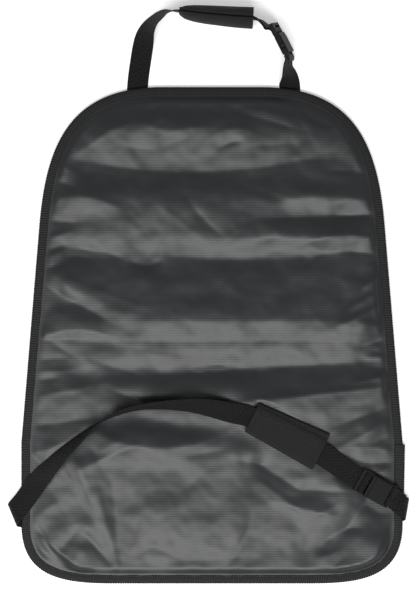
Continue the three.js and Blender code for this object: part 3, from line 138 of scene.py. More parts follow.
# Creases, sharp along their line and placed in the same way, with rises as depths below nought:
# x, y, turn in degrees, half length, reach above and below, depth, bend
CREASES = [
    # rises along the seam
    (205, 98, 0, 130, 4, 30, -5.0, 0.0004),
    (220, 571, 0, 130, 22, 4, -3.8, 0),
    (66, 556, -40, 30, 20, 4, -4.4, 0),
    (384, 530, 66, 26, 20, 4, -3.0, 0),
    (70, 150, 62, 44, 4, 26, -3.6, 0),
    (352, 140, -58, 44, 4, 26, -3.6, 0),
    (378, 300, -84.5, 130, 4, 24, -2.2, 0),
    (46, 300, 84.5, 130, 4, 24, -0.8, 0),
    # top
    (190, 173, 0, 118, 9, 7, 1.5, 0.0010),
    (228, 144, 20, 13, 6, 4, 1.5, -0.012),
    (236, 129, 0, 20, 4, 7, -0.9, -0.012),
    (268, 122, -16, 34, 4, 7, 1.3, 0),
    (272, 114, -12, 30, 4, 4, -0.8, 0),
    (311, 119, -34, 26, 7, 3, 0.9, 0.012),
    (142, 149, -6, 14, 5, 5, 0.9, 0),
    (118, 128, 20, 26, 4, 8, -1.0, -0.008),
    (152, 127, -22, 22, 4, 8, -0.7, 0.01),
    (190, 128, 8, 26, 4, 6, -0.9, -0.006),
    (172, 118, 34, 24, 4, 5, 0.7, 0),
    (150, 113, 36, 22, 4, 5, 0.6, 0),
    (176, 143, 24, 22, 5, 6, 0.6, 0),
    (268, 146, 4, 26, 5, 5, 0.6, 0),
    (305, 132, -60, 16, 5, 6, 0.7, 0),
    (318, 160, 4, 26, 14, 8, 1.6, 0),
    (240, 108, 30, 10, 4, 4, 0.7, 0),
    (348, 172, -4, 22, 11, 7, 2.0, 0),
    (337, 158, 62, 18, 5, 6, -1.0, 0),
    (296, 150, 64, 16, 5, 5, 0.8, 0),
    (82, 150, 30, 30, 6, 8, -0.8, 0),
    # left
    (64, 184, -26, 16, 6, 5, 1.4, 0),
    (66, 168, -30, 18, 4, 6, -0.9, 0),
    (84, 197, -5, 34, 6, 9, -1.6, -0.006),
    (60, 222, -3, 20, 9, 6, 1.9, 0),
    (56, 236, 16, 18, 4, 5, -1.3, 0),
    (50, 250, 18, 16, 4, 3, 1.2, 0),
    (52, 256, 26, 14, 3, 4, -1.0, 0),
    (50, 268, 18, 16, 4, 5, 1.2, 0),
    (93, 251, 0, 34, 9, 8, 1.6, -0.010),
    (145, 266, 0, 15, 9, 6, 2.4, 0.02),
    (130, 215, -50, 30, 8, 10, 0.6, 0),
    (178, 219, -38, 34, 7, 8, -0.6, 0),
    (201, 217, -48, 26, 4, 8, 1.3, 0.003),
    (154, 250, 60, 20, 6, 5, 1.0, 0),
    # right
    (325, 217, 2, 62, 10, 5, 1.9, 0),
    (350, 235, 0, 46, 4, 8, -1.8, -0.004),
    (356, 252, -5, 32, 6, 6, 1.9, -0.005),
    (316, 257, 36, 16, 8, 6, 1.2, 0),
    (245, 260, 0, 84, 12, 9, 1.4, 0.0006),
    (258, 238, 0, 60, 9, 8, -0.9, 0),
    (255, 208, 84, 18, 5, 6, 0.8, 0),
    (232, 240, 40, 18, 6, 6, 0.5, 0),
    (268, 195, -20, 26, 5, 6, 0.6, 0),
    (306, 198, 6, 30, 8, 6, -0.6, 0),
    (360, 216, 2, 24, 9, 4, 1.3, 0),
    (362, 200, -4, 22, 5, 8, -1.0, 0),
    (360, 240, 8, 22, 4, 8, -0.9, 0),
    (374, 228, 6, 10, 4, 4, -0.9, 0),
    (376, 262, 0, 10, 3, 3, 0.8, 0),
    # middle
    (100, 291, -20, 56, 8, 8, -0.9, 0),
    (78, 304, -29, 40, 8, 10, 1.8, 0),
    (74, 330, 2, 38, 7, 4, -1.4, -0.005),
    (60, 339, 4, 26, 3, 3, 0.8, 0),
    (225, 321, 0, 140, 6, 10, -0.8, 0),
    (211, 341, 0, 190, 3, 3, 0.5, 0),
    (150, 350, -8, 50, 5, 6, 0.4, 0),
    (250, 369, 3.5, 110, 12, 6, 1.7, 0),
    (115, 367, -18, 28, 9, 8, 1.0, 0),
    (357, 297, 55, 30, 6, 9, -1.9, 0),
    (374, 280, 30, 14, 3, 12, -2.6, 0),
    (368, 297, 34, 20, 3, 12, -2.6, 0),
    (360, 315, 26, 24, 3, 12, -2.6, 0),
    (370, 306, 54, 20, 5, 4, 1.2, 0),
    (376, 292, 8, 8, 3, 3, 0.9, 0),
    (378, 316, 20, 9, 3, 3, 0.9, 0),
    (374, 326, -16, 20, 4, 4, -0.9, 0),
    (366, 333, -6, 24, 3, 3, 0.7, 0),
    (372, 343, 14, 18, 4, 8, 1.9, 0),
    (380, 352, -8, 9, 3, 3, 0.8, 0),
    (378, 357, 2, 13, 3, 4, -1.2, 0),
    (380, 368, -4, 14, 6, 4, 1.4, 0),
    (366, 372, 40, 12, 4, 5, -0.8, 0),
    (322, 393, 6, 76, 6, 18, -4.0, 0),
    (374, 378, 12, 22, 4, 18, -3.6, 0),
    (366, 404, 10, 26, 8, 8, 0.7, 0),
    (66, 351, -32, 18, 6, 9, 1.6, 0),
    (52, 359, 4, 16, 4, 6, 0.9, 0),
    (54, 371, 4, 20, 5, 5, -1.3, 0),
    (46, 379, 4, 14, 4, 4, 1.2, 0),
    (64, 422, 8, 34, 12, 7, 1.9, 0),
    (58, 392, 10, 26, 5, 8, -1.1, 0),
    (96, 384, 14, 26, 6, 8, -0.8, 0),
    (46, 450, 10, 20, 6, 6, -1.2, 0),
    (40, 462, -50, 12, 4, 4, 1.0, 0),
    # right of the seat strap
    (362, 416, 20, 34, 12, 6, 2.2, 0),
    (360, 436, 27, 34, 6, 7, -1.9, 0),
    (376, 441, 26, 14, 4, 4, 1.0, 0),
    (364, 446, 0, 28, 4, 6, -1.2, -0.006),
    (368, 463, -8, 24, 8, 5, 1.9, 0.010),
    (383, 470, 24, 10, 4, 4, -1.0, 0),
    (340, 430, 30, 16, 5, 5, 0.6, 0),
    # below the strap
    (120, 500, 60, 60, 26, 30, 1.6, 0),
    (290, 520, -40, 60, 30, 26, 1.4, 0),
    (190, 560, 4, 60, 14, 10, 1.2, 0),
    (72, 470, -55, 40, 14, 18, -1.6, 0),
    (176, 407, -4, 56, 6, 17, 5.0, 0.003),
    (160, 447, 0, 66, 16, 12, -2.8, 0.0036),
    (108, 456, 24, 34, 18, 10, -3.6, 0),
    (306, 508, -14, 34, 18, 6, -2.4, 0),
    (112, 444, 26, 16, 6, 6, -0.8, 0),
    (206, 452, 10, 20, 6, 5, 0.8, 0),
    (104, 470, -62, 24, 8, 8, 1.0, 0),
    (82, 474, -60, 30, 7, 7, -1.1, 0),
    (76, 492, -62, 34, 5, 6, 0.8, 0),
    (92, 512, -68, 56, 3, 6, 0.9, 0),
    (106, 522, -74, 46, 4, 5, -0.9, 0),
    (116, 522, -84, 50, 3, 4, 0.8, 0),
    (58, 500, -60, 26, 6, 8, 0.9, 0),
    (48, 508, 36, 16, 5, 6, -1.0, 0),
    (130, 545, 70, 28, 4, 5, 0.9, 0),
    (68, 540, 50, 18, 7, 10, 3.0, 0),
    (78, 556, 60, 14, 4, 5, -1.0, 0),
    (98, 548, -50, 22, 5, 8, 2.4, 0),
    (46, 540, -58, 18, 8, 5, 2.8, 0),
    (40, 548, -52, 14, 4, 4, -1.3, 0),
    (150, 547, 30, 16, 5, 6, 0.8, 0),
    (168, 552, -24, 20, 5, 6, 0.9, 0),
    (186, 488, 42, 30, 6, 8, 0.8, 0),
    (253, 444, 76, 26, 10, 6, -1.5, 0),
    (232, 486, 86, 26, 5, 8, 0.4, 0),
    (222, 520, 76, 30, 5, 8, -0.9, 0),
    (242, 542, 64, 34, 12, 7, 2.6, 0.004),
    (262, 532, 82, 26, 6, 8, -0.6, 0),
    (252, 462, -10, 16, 6, 6, 1.3, 0),
    (281, 478, -32, 30, 8, 7, 2.1, 0),
    (322, 490, -4, 32, 6, 8, 1.7, 0),
    (282, 497, -36, 32, 6, 9, -1.6, 0),
    (320, 512, 26, 22, 7, 7, -1.5, 0),
    (300, 484, 80, 10, 5, 4, -0.9, 0),
    (306, 545, 74, 20, 7, 6, 0.8, 0),
    (290, 548, 84, 18, 6, 8, -0.6, 0),
    (334, 534, 32, 24, 10, 6, 2.2, -0.012),
    (352, 520, 54, 34, 6, 9, 1.9, 0),
    (330, 553, 20, 14, 4, 5, -0.9, 0),
    (336, 563, 40, 14, 4, 4, 0.9, 0),
    (362, 505, 30, 20, 7, 8, 1.0, 0),
    (384, 506, -42, 32, 6, 30, 2.4, 0),
    (362, 567, 24, 36, 28, 3, -6.5, 0),
]


# Shared helpers

def smooth(t):
    c = np.clip(t, 0, 1)
    return c * c * (3 - 2 * c)


def to_row(points):
    """Millimetres on the mat, from its centre, to metres in the row frame."""
    return np.asarray(points, float) * MM + ORIGIN


def from_row(points):
    return (np.asarray(points, float) - ORIGIN) / MM


def mesh_object(name, points, faces, uv=None):
    """A smooth-shaded piece from points in millimetres, with one UV pair for each point."""
    mesh = bpy.data.meshes.new(name)
    mesh.from_pydata(to_row(points).tolist(), [], [list(map(int, face)) for face in faces])
    mesh.polygons.foreach_set("use_smooth", [True] * len(mesh.polygons))
    if uv is not None:
        corners = np.zeros(len(mesh.loops), int)
        mesh.loops.foreach_get("vertex_index", corners)
        layer = mesh.uv_layers.new(name="UVMap")
        layer.data.foreach_set("uv", np.asarray(uv, float)[corners].ravel())
    mesh.update()
    piece = bpy.data.objects.new(name, mesh)
    bpy.context.collection.objects.link(piece)
    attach(piece, "root")
    return piece


def grid_faces(rows, columns, wrap_rows=False, wrap_columns=False):
    """Quads over a grid of points numbered row by row."""
    i = np.arange(rows if wrap_rows else rows - 1)
    j = np.arange(columns if wrap_columns else columns - 1)
    i, j = np.meshgrid(i, j, indexing="ij")
    after, beside = (i + 1) % rows, (j + 1) % columns
    quads = [i * columns + j, i * columns + beside, after * columns + beside, after * columns + j]
    return np.stack(quads, axis=-1).reshape(-1, 4)


def swept(name, rings, uv=None):
    """A tube through rings of points, closed at both ends by a face."""
    count, size = rings.shape[:2]
    faces = grid_faces(count, size, wrap_columns=True).tolist()
    faces.append(list(range(size))[::-1])
    faces.append([(count - 1) * size + k for k in range(size)])
    return mesh_object(name, rings.reshape(-1, 3), faces, uv)


def run_length(line):
    """Distance along a line of points, at each of them."""
    return np.concatenate([[0], np.cumsum(np.linalg.norm(np.diff(line, axis=0), axis=1))])


def unit(v):
    v = np.asarray(v, float)
    return v / np.maximum(np.linalg.norm(v, axis=-1, keepdims=True), 1e-9)


def through(values, spots, at):
    """A smooth curve through values given at spots, read at other spots."""
    values = np.asarray(values, float)
    slopes = np.gradient(values, spots, axis=0)
    k = np.clip(np.searchsorted(spots, at, side="right") - 1, 0, len(spots) - 2)
    span = spots[k + 1] - spots[k]
    t = ((at - spots[k]) / span)[:, None]
    span = span[:, None]
    a, b = values[k], values[k + 1]
    return (
        (2 * t**3 - 3 * t**2 + 1) * a
        + (t**3 - 2 * t**2 + t) * span * slopes[k]
        + (3 * t**2 - 2 * t**3) * b
        + (t**3 - t**2) * span * slopes[k + 1]
    )


# Mat outline, clockwise from the middle of the top edge

TOP_CORNER_POINTS = 41
BOTTOM_CORNER_POINTS = 31
DEPTH_STEP = 9


def bezier(a, b, c, d, count):
    t = np.linspace(0, 1, count)[:, None]
    return (1 - t) ** 3 * a + 3 * (1 - t) ** 2 * t * b + 3 * (1 - t) * t**2 * c + t**3 * d


def right_edge():
    shoulder = np.array([SHOULDER_WIDTH / 2, HALF_LENGTH - SHOULDER_DROP])
    waist = np.array([HALF_WIDTH, HALF_LENGTH - SIDE_TAPER_END])
    low = np.array([HALF_WIDTH, HALF_LENGTH - BOTTOM_CORNER_START])
    top_end = np.array([TOP_FLAT, HALF_LENGTH])
    bottom_end = np.array([BOTTOM_FLAT, -HALF_LENGTH])
    top_handle = top_end + [TOP_CORNER_ACROSS, 0]
    shoulder_handle = shoulder - unit(waist - shoulder) * TOP_CORNER_DOWN
    low_handle = low - [0, BOTTOM_CORNER_DOWN]
    bottom_handle = bottom_end + [BOTTOM_CORNER_ACROSS, 0]
    return np.concatenate([
        [[0, HALF_LENGTH]],
        bezier(top_end, top_handle, shoulder_handle, shoulder, TOP_CORNER_POINTS),
        [waist],
        bezier(low, low_handle, bottom_handle, bottom_end, BOTTOM_CORNER_POINTS),
        [[0, -HALF_LENGTH]],
    ])


def full_edge(step):
    """The closed outer edge in even steps: points, inward directions and distances along it."""
    right = right_edge()
    left = right[-2:0:-1] * [-1, 1]
    ring = np.concatenate([right, left, right[:1]])
    along = run_length(ring)
    count = round(along[-1] / step)
    spots = np.arange(count) * along[-1] / count
    points = np.stack([np.interp(spots, along, ring[:, k]) for k in (0, 1)], axis=1)
    tangent = unit(np.roll(points, -1, axis=0) - np.roll(points, 1, axis=0))
    inward = np.stack([tangent[:, 1], -tangent[:, 0]], axis=1)
    return points, inward, spots


EDGE = full_edge(DEPTH_STEP)[0]


def depth_inside(x, y):
    """Distance inward from the outer edge, negative outside it."""
    best = np.full(x.shape, np.inf)
    side = np.ones(x.shape)
    for a, b in zip(EDGE, np.roll(EDGE, -1, axis=0)):
        ab = b - a
        t = np.clip(((x - a[0]) * ab[0] + (y - a[1]) * ab[1]) / (ab @ ab), 0, 1)
        dx, dy = x - a[0] - t * ab[0], y - a[1] - t * ab[1]
        away = np.hypot(dx, dy)
        closer = away < best
        side = np.where(closer, np.sign(dx * ab[1] - dy * ab[0]), side)
        best = np.where(closer, away, best)
    return best * side


def half_width_at(y, inset):
    """Half the mat's width at height y, inset from the outer edge."""
    right = right_edge()[1:-1]
    normals = np.gradient(right, axis=0)
    inward = unit(np.stack([normals[:, 1], -normals[:, 0]], axis=1))
    line = (right + inward * inset)[::-1]
    return np.interp(y, np.maximum.accumulate(line[:, 1]), line[:, 0])


def mat_grid(low, high, inset, steps):
    """Rows of points across the mat between two heights."""
    rows = np.linspace(low, high, max(2, round((high - low) / steps[1])))
    columns = np.linspace(-1, 1, round(2 * HALF_WIDTH / steps[0]))
    x = half_width_at(rows, inset)[:, None] * columns
    return x, np.repeat(rows[:, None], len(columns), axis=1)


# Fabric sheets of the mat, with the steps of their grids across and along it

BACK_STEPS = (2.85, 2.05)
FRONT_STEPS = (7, 7)
POCKET_STEPS = (5, 5)


def beside_line(x, y, line_x, line_y, turn, bend):
    """Distances along and above a bent line that is placed in the photograph, in its pixels."""
    dx = DRAWN_CENTRE[0] + x / DRAWN_MM - line_x
    dy = line_y - (DRAWN_CENTRE[1] - y / DRAWN_MM)
    angle = math.radians(turn)
    along = dx * math.cos(angle) + dy * math.sin(angle)
    return along, dy * math.cos(angle) - dx * math.sin(angle) - bend * along**2


def fold_height(x, y):
    height = np.zeros(x.shape)
    for fold_x, fold_y, turn, length, width, rise, bend in FOLDS:
        along, across = beside_line(x, y, fold_x, fold_y, turn, bend)
        height += rise * np.exp(-0.5 * ((along / length) ** 2 + (across / width) ** 2))
    return height


def crease_height(x, y):
    height = np.zeros(x.shape)
    for crease_x, crease_y, turn, length, above, below, depth, bend in CREASES:
        along, across = beside_line(x, y, crease_x, crease_y, turn, bend)
        reach = np.where(across > 0, above, below)
        away = np.sqrt(across**2 + CREASE_ROUND**2) - CREASE_ROUND
        height -= depth * np.exp(-away / reach - (along / length) ** 4)
    return height


def rumple(x, y, size, seed):
    """Soft random unevenness, about -1 to 1, with bumps of the given size."""
    flat = [noise.noise((a / size, b / size, seed)) for a, b in zip(x.ravel(), y.ravel())]
    return np.array(flat).reshape(x.shape)


def packed_surface(nodes):
    """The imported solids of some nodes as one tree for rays, in millimetres on the mat."""
    points, faces = [], []
    for node in nodes:
        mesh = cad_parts[node].data
        faces += [[i + len(points) for i in polygon.vertices] for polygon in mesh.polygons]
        points += from_row(np.array([v.co for v in mesh.vertices], float)).tolist()
    reach = PRESS_REACHES[-1]
    return BVHTree.FromPolygons(points, faces), np.min(points, axis=0) - reach, np.max(points, axis=0) + reach


def room_under_strap(x, y):
    """Highest underside that clears what lies on the mat, rising gently beside it."""
    tree, low, high = packed_surface(LYING_ON_THE_BACK)
    around = [(0, 0, 0)]
    for reach in PRESS_REACHES:
        for turn in np.arange(PRESS_TURNS) * 2 * math.pi / PRESS_TURNS:
            around.append((reach * math.cos(turn), reach * math.sin(turn), reach * PRESS_SLOPE))
    near = (x > low[0]) & (x < high[0]) & (y > low[1]) & (y < high[1])
    room = np.full(x.shape, np.inf)
    for spot in np.argwhere(near):
        place = tuple(spot)
        for dx, dy, rise in around:
            hit = tree.ray_cast((x[place] + dx, y[place] + dy, Z_BACK), (0, 0, 1))[0]
            if hit:
                room[place] = min(room[place], hit.z + rise)
    return room - FABRIC_THICK - PRESS_GAP


def back_height(x, y):
    """Underside of the back panel: its dome, long folds and creases, kept below the strap."""
    depth = depth_inside(x, y) - BINDING_WIDTH - FLAT_RIM
    dome = DOME_HEIGHT * (1 - (1 - np.clip(depth / DOME_REACH, 0, 1)) ** 2)
    folds = fold_height(x, y) * smooth(depth / FOLD_REACH)
    uneven = sum(rise * rumple(x, y, size, seed) for rise, size, seed in RUMPLES)
    short = crease_height(x, y) + uneven
    free = Z_BACK + np.maximum(0, dome + folds + short * smooth(depth / WRINKLE_REACH))
    return np.clip(room_under_strap(x, y), Z_BACK, free)


def pocket_height(x, y, low_edge):
    """Underside of a pocket, which hangs from the binding and sags to the floor."""
    from_side = smooth((depth_inside(x, y) - BINDING_WIDTH) / POCKET_FADE)
    from_low = smooth((y - low_edge - BINDING_WIDTH) / POCKET_FADE)
    return Z_POCKET - POCKET_SAG * from_side * from_low


def fabric_sheet(name, low, high, steps, height):
    """A sheet between two heights of the mat, given its underside, with its real thickness."""
    x, y = mat_grid(low, high, PANEL_INSET, steps)
    z = height(x, y) + FABRIC_THICK
    points = np.stack([x, y, z], axis=-1).reshape(-1, 3)
    piece = mesh_object(name, points, grid_faces(*x.shape)[:, ::-1])
    solid = piece.modifiers.new("thickness", "SOLIDIFY")
    solid.thickness = FABRIC_THICK * MM
    solid.offset = -1
    return piece


# Binding

TAPE_MIDDLE = 5.6
FOLD_START = 3.8
FOLD_TURNS = range(90, 271, 30)
INNER_FOLD_START = 2.6
INNER_FOLD_REACH = 1
STITCH_INSET = 8.2
GROOVE_HALF = 0.7
GROOVE_TOP = 0.22
GROOVE_LOW = 0.2
SELVEDGE_TOP = 0.2
SELVEDGE_LOW = 0.15
RIB_PITCH = 2.9
RIB_RISE = 0.30
BINDING_STEP = RIB_PITCH / 4
PUCKER_DEPTH = 0.5
PUCKER_LENGTH = 14
LIFT_HEIGHT = 0.22
LIFT_LENGTH = 8
PROUD_START = 1
PROUD_FADE = 8
OVERLAP_EASE = 1.0
TEXTURE_UNIT = 25


def binding_section():
    """Folded tape in the plane across the edge: distance inward and height, once round."""
    top, low = Z_RIM, Z_FLANGE_LOW
    radius = (top - low) / 2
    outer = [
        (BINDING_WIDTH, top - SELVEDGE_TOP),
        (STITCH_INSET + 2 * GROOVE_HALF, top),
        (STITCH_INSET + GROOVE_HALF, top),
        (STITCH_INSET, top - GROOVE_TOP),
        (STITCH_INSET - GROOVE_HALF, top),
        (TAPE_MIDDLE, top),
        (FOLD_START, top),
    ]
    for degrees in FOLD_TURNS:
        a = math.radians(degrees)
        outer.append((radius + radius * math.cos(a), (top + low) / 2 + radius * math.sin(a)))
    outer += [
        (FOLD_START, low),
        (STITCH_INSET - GROOVE_HALF, low),
        (STITCH_INSET, low + GROOVE_LOW),
        (STITCH_INSET + GROOVE_HALF, low),
        (BINDING_WIDTH, low + SELVEDGE_LOW),
    ]
    inner = [
        (BINDING_WIDTH, low + TAPE_THICK),
        (INNER_FOLD_START, low + TAPE_THICK),
        (TAPE_THICK, low + TAPE_THICK + INNER_FOLD_REACH),
        (TAPE_THICK, top - TAPE_THICK - INNER_FOLD_REACH),
        (INNER_FOLD_START, top - TAPE_THICK),
        (BINDING_WIDTH, top - TAPE_THICK - SELVEDGE_TOP),
    ]
    return np.array(outer + inner), len(outer)


def overlap_shape(points):
    """How far the overlapped tape stands out, and how much it covers, at each point of the edge."""
    down = HALF_LENGTH - OVERLAP_TOP - points[:, 1]
    begun = smooth((down + OVERLAP_EASE / 2) / OVERLAP_EASE)
    covered = begun * smooth((OVERLAP_LENGTH + OVERLAP_EASE / 2 - down) / OVERLAP_EASE) * (points[:, 0] > 0)
    proud = OVERLAP_PROUD_TOP + (OVERLAP_PROUD_LOW - OVERLAP_PROUD_TOP) * down / OVERLAP_LENGTH
    return proud * covered, covered


def binding_rings():
    """Ribbed sections of the tape round the edge, and their UV places."""
    points, inward, spots = full_edge(BINDING_STEP)
    section, outer_count = binding_section()
    around = np.roll(section, -1, axis=0) - np.roll(section, 1, axis=0)
    outward = unit(np.stack([around[:, 1], -around[:, 0]], axis=1))
    top_middle = int(np.flatnonzero(section[:, 0] == TAPE_MIDDLE)[0])
    if outward[top_middle][1] < 0:
        outward = -outward
    outward[outer_count:] = 0
    proud, covered = overlap_shape(points)
    rib = RIB_RISE * np.cos(2 * np.pi * BINDING_STEP / RIB_PITCH * np.arange(len(spots)))
    pucker = PUCKER_DEPTH * np.array([noise.noise((s / PUCKER_LENGTH, 0.5, 0.5)) for s in spots])
    lift = LIFT_HEIGHT * np.array([noise.noise((s / LIFT_LENGTH, 7.5, 0.5)) for s in spots])
    reach = section[:, 0] / BINDING_WIDTH
    s = section[None, :, 0] + rib[:, None] * outward[:, 0] + pucker[:, None] * reach
    z = section[None, :, 1] + rib[:, None] * outward[:, 1] + lift[:, None] * reach * (outward[:, 1] > 0.5)
    s = s - proud[:, None] * (1 - smooth((section[:, 0] - PROUD_START) / PROUD_FADE))
    high = section[:, 1] > (Z_RIM + Z_FLANGE_LOW) / 2
    z = z + covered[:, None] * TAPE_THICK * np.where(high, 1, -1)
    x = points[:, 0, None] + inward[:, 0, None] * s
    y = points[:, 1, None] + inward[:, 1, None] * s
    uv = np.stack(np.broadcast_arrays(run_length(section)[None, :], spots[:, None]), axis=-1) / TEXTURE_UNIT
    return np.stack([x, y, z], axis=-1), uv


def edge_binding():
    rings, uv = binding_rings()
    count, size = rings.shape[:2]
    faces = grid_faces(count, size, wrap_rows=True, wrap_columns=True)
    return mesh_object("binding_tape", rings.reshape(-1, 3), faces, uv.reshape(-1, 2))


# Stitches

STITCH_LENGTH = 2.7
STITCH_RADIUS = 0.28
STITCH_PROFILE = ((-0.5, 0.35), (-0.36, 0.9), (0, 1), (0.36, 0.9), (0.5, 0.35))
STITCH_SIDES = 6
STITCH_PITCH = 3.7
SUNK_TOP = 0.12
SUNK_LOW = 0.1
PROUD_OF_HEM = 0.25


def stitches(name, places, directions, ups):
    """Short threads half sunk in the cloth, one at each place."""
    places, along, up = (np.asarray(v, float) for v in (places, unit(directions), unit(ups)))
    side = np.cross(up, along)
    rings = []
    for t, swell in STITCH_PROFILE:
        centre = places + along * (t * STITCH_LENGTH)
        radius = STITCH_RADIUS * swell
        dip = 2 * STITCH_RADIUS * t**2
        turns = np.arange(STITCH_SIDES) * 2 * np.pi / STITCH_SIDES
        offsets = [side * (radius * math.cos(a)) + up * (radius * math.sin(a) - dip) for a in turns]
        rings.append(centre[:, None, :] + np.stack(offsets, axis=1))
    points = np.stack(rings, axis=1).reshape(-1, 3)
    size = len(STITCH_PROFILE) * STITCH_SIDES
    one = grid_faces(len(STITCH_PROFILE), STITCH_SIDES, wrap_columns=True)
    faces = (one[None] + (np.arange(len(places)) * size)[:, None, None]).reshape(-1, 4).tolist()
    for first in range(0, len(places) * size, size):
        faces.append([first + j for j in range(STITCH_SIDES)][::-1])
        faces.append([first + size - STITCH_SIDES + j for j in range(STITCH_SIDES)])
    return mesh_object(name, points, faces)


def edge_stitches(name, height, up):
    """A line of stitches along the binding, a little inside the mat's edge."""
    points, inward, _ = full_edge(STITCH_PITCH)
    _, covered = overlap_shape(points)
    place = np.column_stack([points + inward * STITCH_INSET, height + up * covered * TAPE_THICK])
    along = np.column_stack([-inward[:, 1], inward[:, 0], np.zeros(len(points))])
    return stitches(name, place, along, np.tile([0, 0, up], (len(points), 1)))


# Webbing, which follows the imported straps

JOIN_DISTANCE = 4e-6
THICK_TOLERANCE = 0.25
WEBBING_STEP = 1.1
TWIST_WEIGHT = 0.5
LEAST_GAP = 0.05


def joined_mesh(node):
    """A CAD node's points in millimetres, those that lie together made one, and each one's neighbours."""
    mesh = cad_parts[node].data
    mesh.calc_loop_triangles()
    points = np.array([v.co for v in mesh.vertices], float)
    cells = np.round(points / JOIN_DISTANCE).astype(int)
    _, first, same = np.unique(cells, axis=0, return_index=True, return_inverse=True)
    near = [set() for _ in first]
    for t in mesh.loop_triangles:
        a, b, c = (int(same.ravel()[i]) for i in t.vertices)
        near[a] |= {b, c}
        near[b] |= {a, c}
        near[c] |= {a, b}
    return from_row(points[first]), near


def levels_from(start, near):
    """Sets of four points outward from a starting four, or None if it isn't an end of the ribbon."""
    levels, seen = [start], set(start)
    while True:
        after = set().union(*(near[i] for i in levels[-1])) - seen
        if not after:
            return levels if len(seen) == len(near) else None
        if len(after) != 4:
            return None
        levels.append(after)
        seen |= after


def ribbon_levels(node):
    """The cross sections of a packed strap, in order, as four points each."""
    points, near = joined_mesh(node)
    for a in range(len(points)):
        gaps = {b: np.linalg.norm(points[a] - points[b]) for b in near[a]}
        thin = [b for b in near[a] if abs(gaps[b] - WEBBING_THICK) < THICK_TOLERANCE]
        for b in thin:
            shared = near[a] | near[b]
            for c in shared - {a, b}:
                for d in (near[c] & shared) - {a, b}:
                    levels = levels_from({a, b, c, d}, near)
                    if levels:
                        return [points[sorted(level)] for level in levels]
    raise ValueError(f"{node} isn't a ribbon of four-point sections")


def ribbon_line(node):
    """Centres and half widths along a packed strap."""
    centres, halves = [], []
    for four in ribbon_levels(node):
        mate = min((1, 2, 3), key=lambda k: np.linalg.norm(four[0] - four[k]))
        others = [k for k in (1, 2, 3) if k != mate]
        half = ((four[0] + four[mate]) - (four[others[0]] + four[others[1]])) / 4
        if halves and half @ halves[-1] < 0:
            half = -half
        centres.append(four.mean(axis=0))
        halves.append(half)
    return np.array(centres), np.array(halves)


# The webbing's rounded edge: share of its half width, and of half its thickness
EDGE_PROFILE = [(1, 0), (0.992, 0.55), (0.97, 0.86), (0.9, 1), (0.72, 1), (0.4, 1), (0, 1)]


def webbing_section():
    """Across and up, once round, with rounded edges."""
    top = [(p, q) for p, q in EDGE_PROFILE] + [(-p, q) for p, q in EDGE_PROFILE[-2::-1]]
    low = [(-p, -q) for p, q in EDGE_PROFILE[1:]] + [(p, -q) for p, q in EDGE_PROFILE[-2:0:-1]]
    return np.array(top + low)


def webbing(name, node):
    """Woven strap along a packed one, with rounded selvedges."""
    centres, halves = ribbon_line(node)
    turned = np.linalg.norm(np.diff(halves, axis=0), axis=1)
    gaps = np.linalg.norm(np.diff(centres, axis=0), axis=1) + TWIST_WEIGHT * turned
    spots = np.concatenate([[0], np.cumsum(np.maximum(gaps, LEAST_GAP))])
    at = np.linspace(0, spots[-1], round(spots[-1] / WEBBING_STEP))
    line, across = through(centres, spots, at), through(halves, spots, at)
    tangent = unit(np.gradient(line, axis=0))
    face = unit(np.cross(tangent, across))
    section = webbing_section()
    rings = line[:, None] + across[:, None] * section[None, :, :1]
    rings = rings + face[:, None] * section[None, :, 1:] * (WEBBING_THICK / 2)
    rings[..., 2] = np.maximum(rings[..., 2], 0)
    along = run_length(line)[:, None] / TEXTURE_UNIT
    uv = np.stack(np.broadcast_arrays(section[None, :, 0] / 2 + 0.5, along), axis=-1)
    piece = swept(name, rings, uv.reshape(-1, 2))
    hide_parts(node)
    return piece


# Keepers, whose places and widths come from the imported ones

def slices(node, count):
    """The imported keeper's cross sections, as groups of points in order along it."""
    points, _ = joined_mesh(node)
    centre = points.mean(axis=0)
    axis = np.linalg.svd((points - centre) * [1, 1, 0], full_matrices=False)[2][0]
    if axis[0] < 0:
        axis = -axis
    order = np.argsort((points - centre) @ axis)
    return np.array_split(points[order], count), axis


def outline_from(line, thickness):
    """Thickens an open line into a closed section with rounded ends."""
    line = np.asarray(line, float)
    along = np.gradient(line, axis=0)
    side = unit(np.stack([-along[:, 1], along[:, 0]], axis=1)) * thickness / 2
    direction = unit(along)
    cap_end = [line[-1] + direction[-1] * thickness * CAP_SHARE]
    cap_start = [line[0] - direction[0] * thickness * CAP_SHARE]
    return np.concatenate([line + side, cap_end, (line - side)[::-1], cap_start])


def resampled(line, count):
    line = np.asarray(line, float)
    spots = run_length(line)
    return through(line, spots, np.linspace(0, spots[-1], count))


SEAT_KEEPER_SLICES = 7
KEEPER_THICK = 2 * PAD_THICK + 2 * WEBBING_THICK + 3 * CLEAR
KEEPER_RINGS = 70
SECTION_POINTS = 44
WEBBING_ROOM = 1
CROWN_INSET = 2
CROWN_LEFT = 0.1
CROWN_MIDDLE = 0.25
CROWN_RIGHT = 0.05
STEP_START = 0.5
STEP_DROP = 0.5
STEP_END = 3.5
LIP_LEAST = 1.2
LIP_RISE = 0.3
LOW_BAND = 0.4
SLEEVE_SWELL = 0.35
END_SEAM = 5
END_SEAM_DIP = 0.25
END_SEAM_HALF = 0.9
END_SEAM_BAND = 1.2
SLEEVE_STITCH_PITCH = 3.6
SLEEVE_STITCH_START = 3
SLEEVE_STITCH_STOP = 2
LIP_STITCH_INSET = 1.7
LIP_STITCH_PROUD = 0.25
END_STITCH_MARGIN = 4
END_STITCH_STOP = 13
END_STITCH_PROUD = 0.2
CAP_SHARE = 0.3


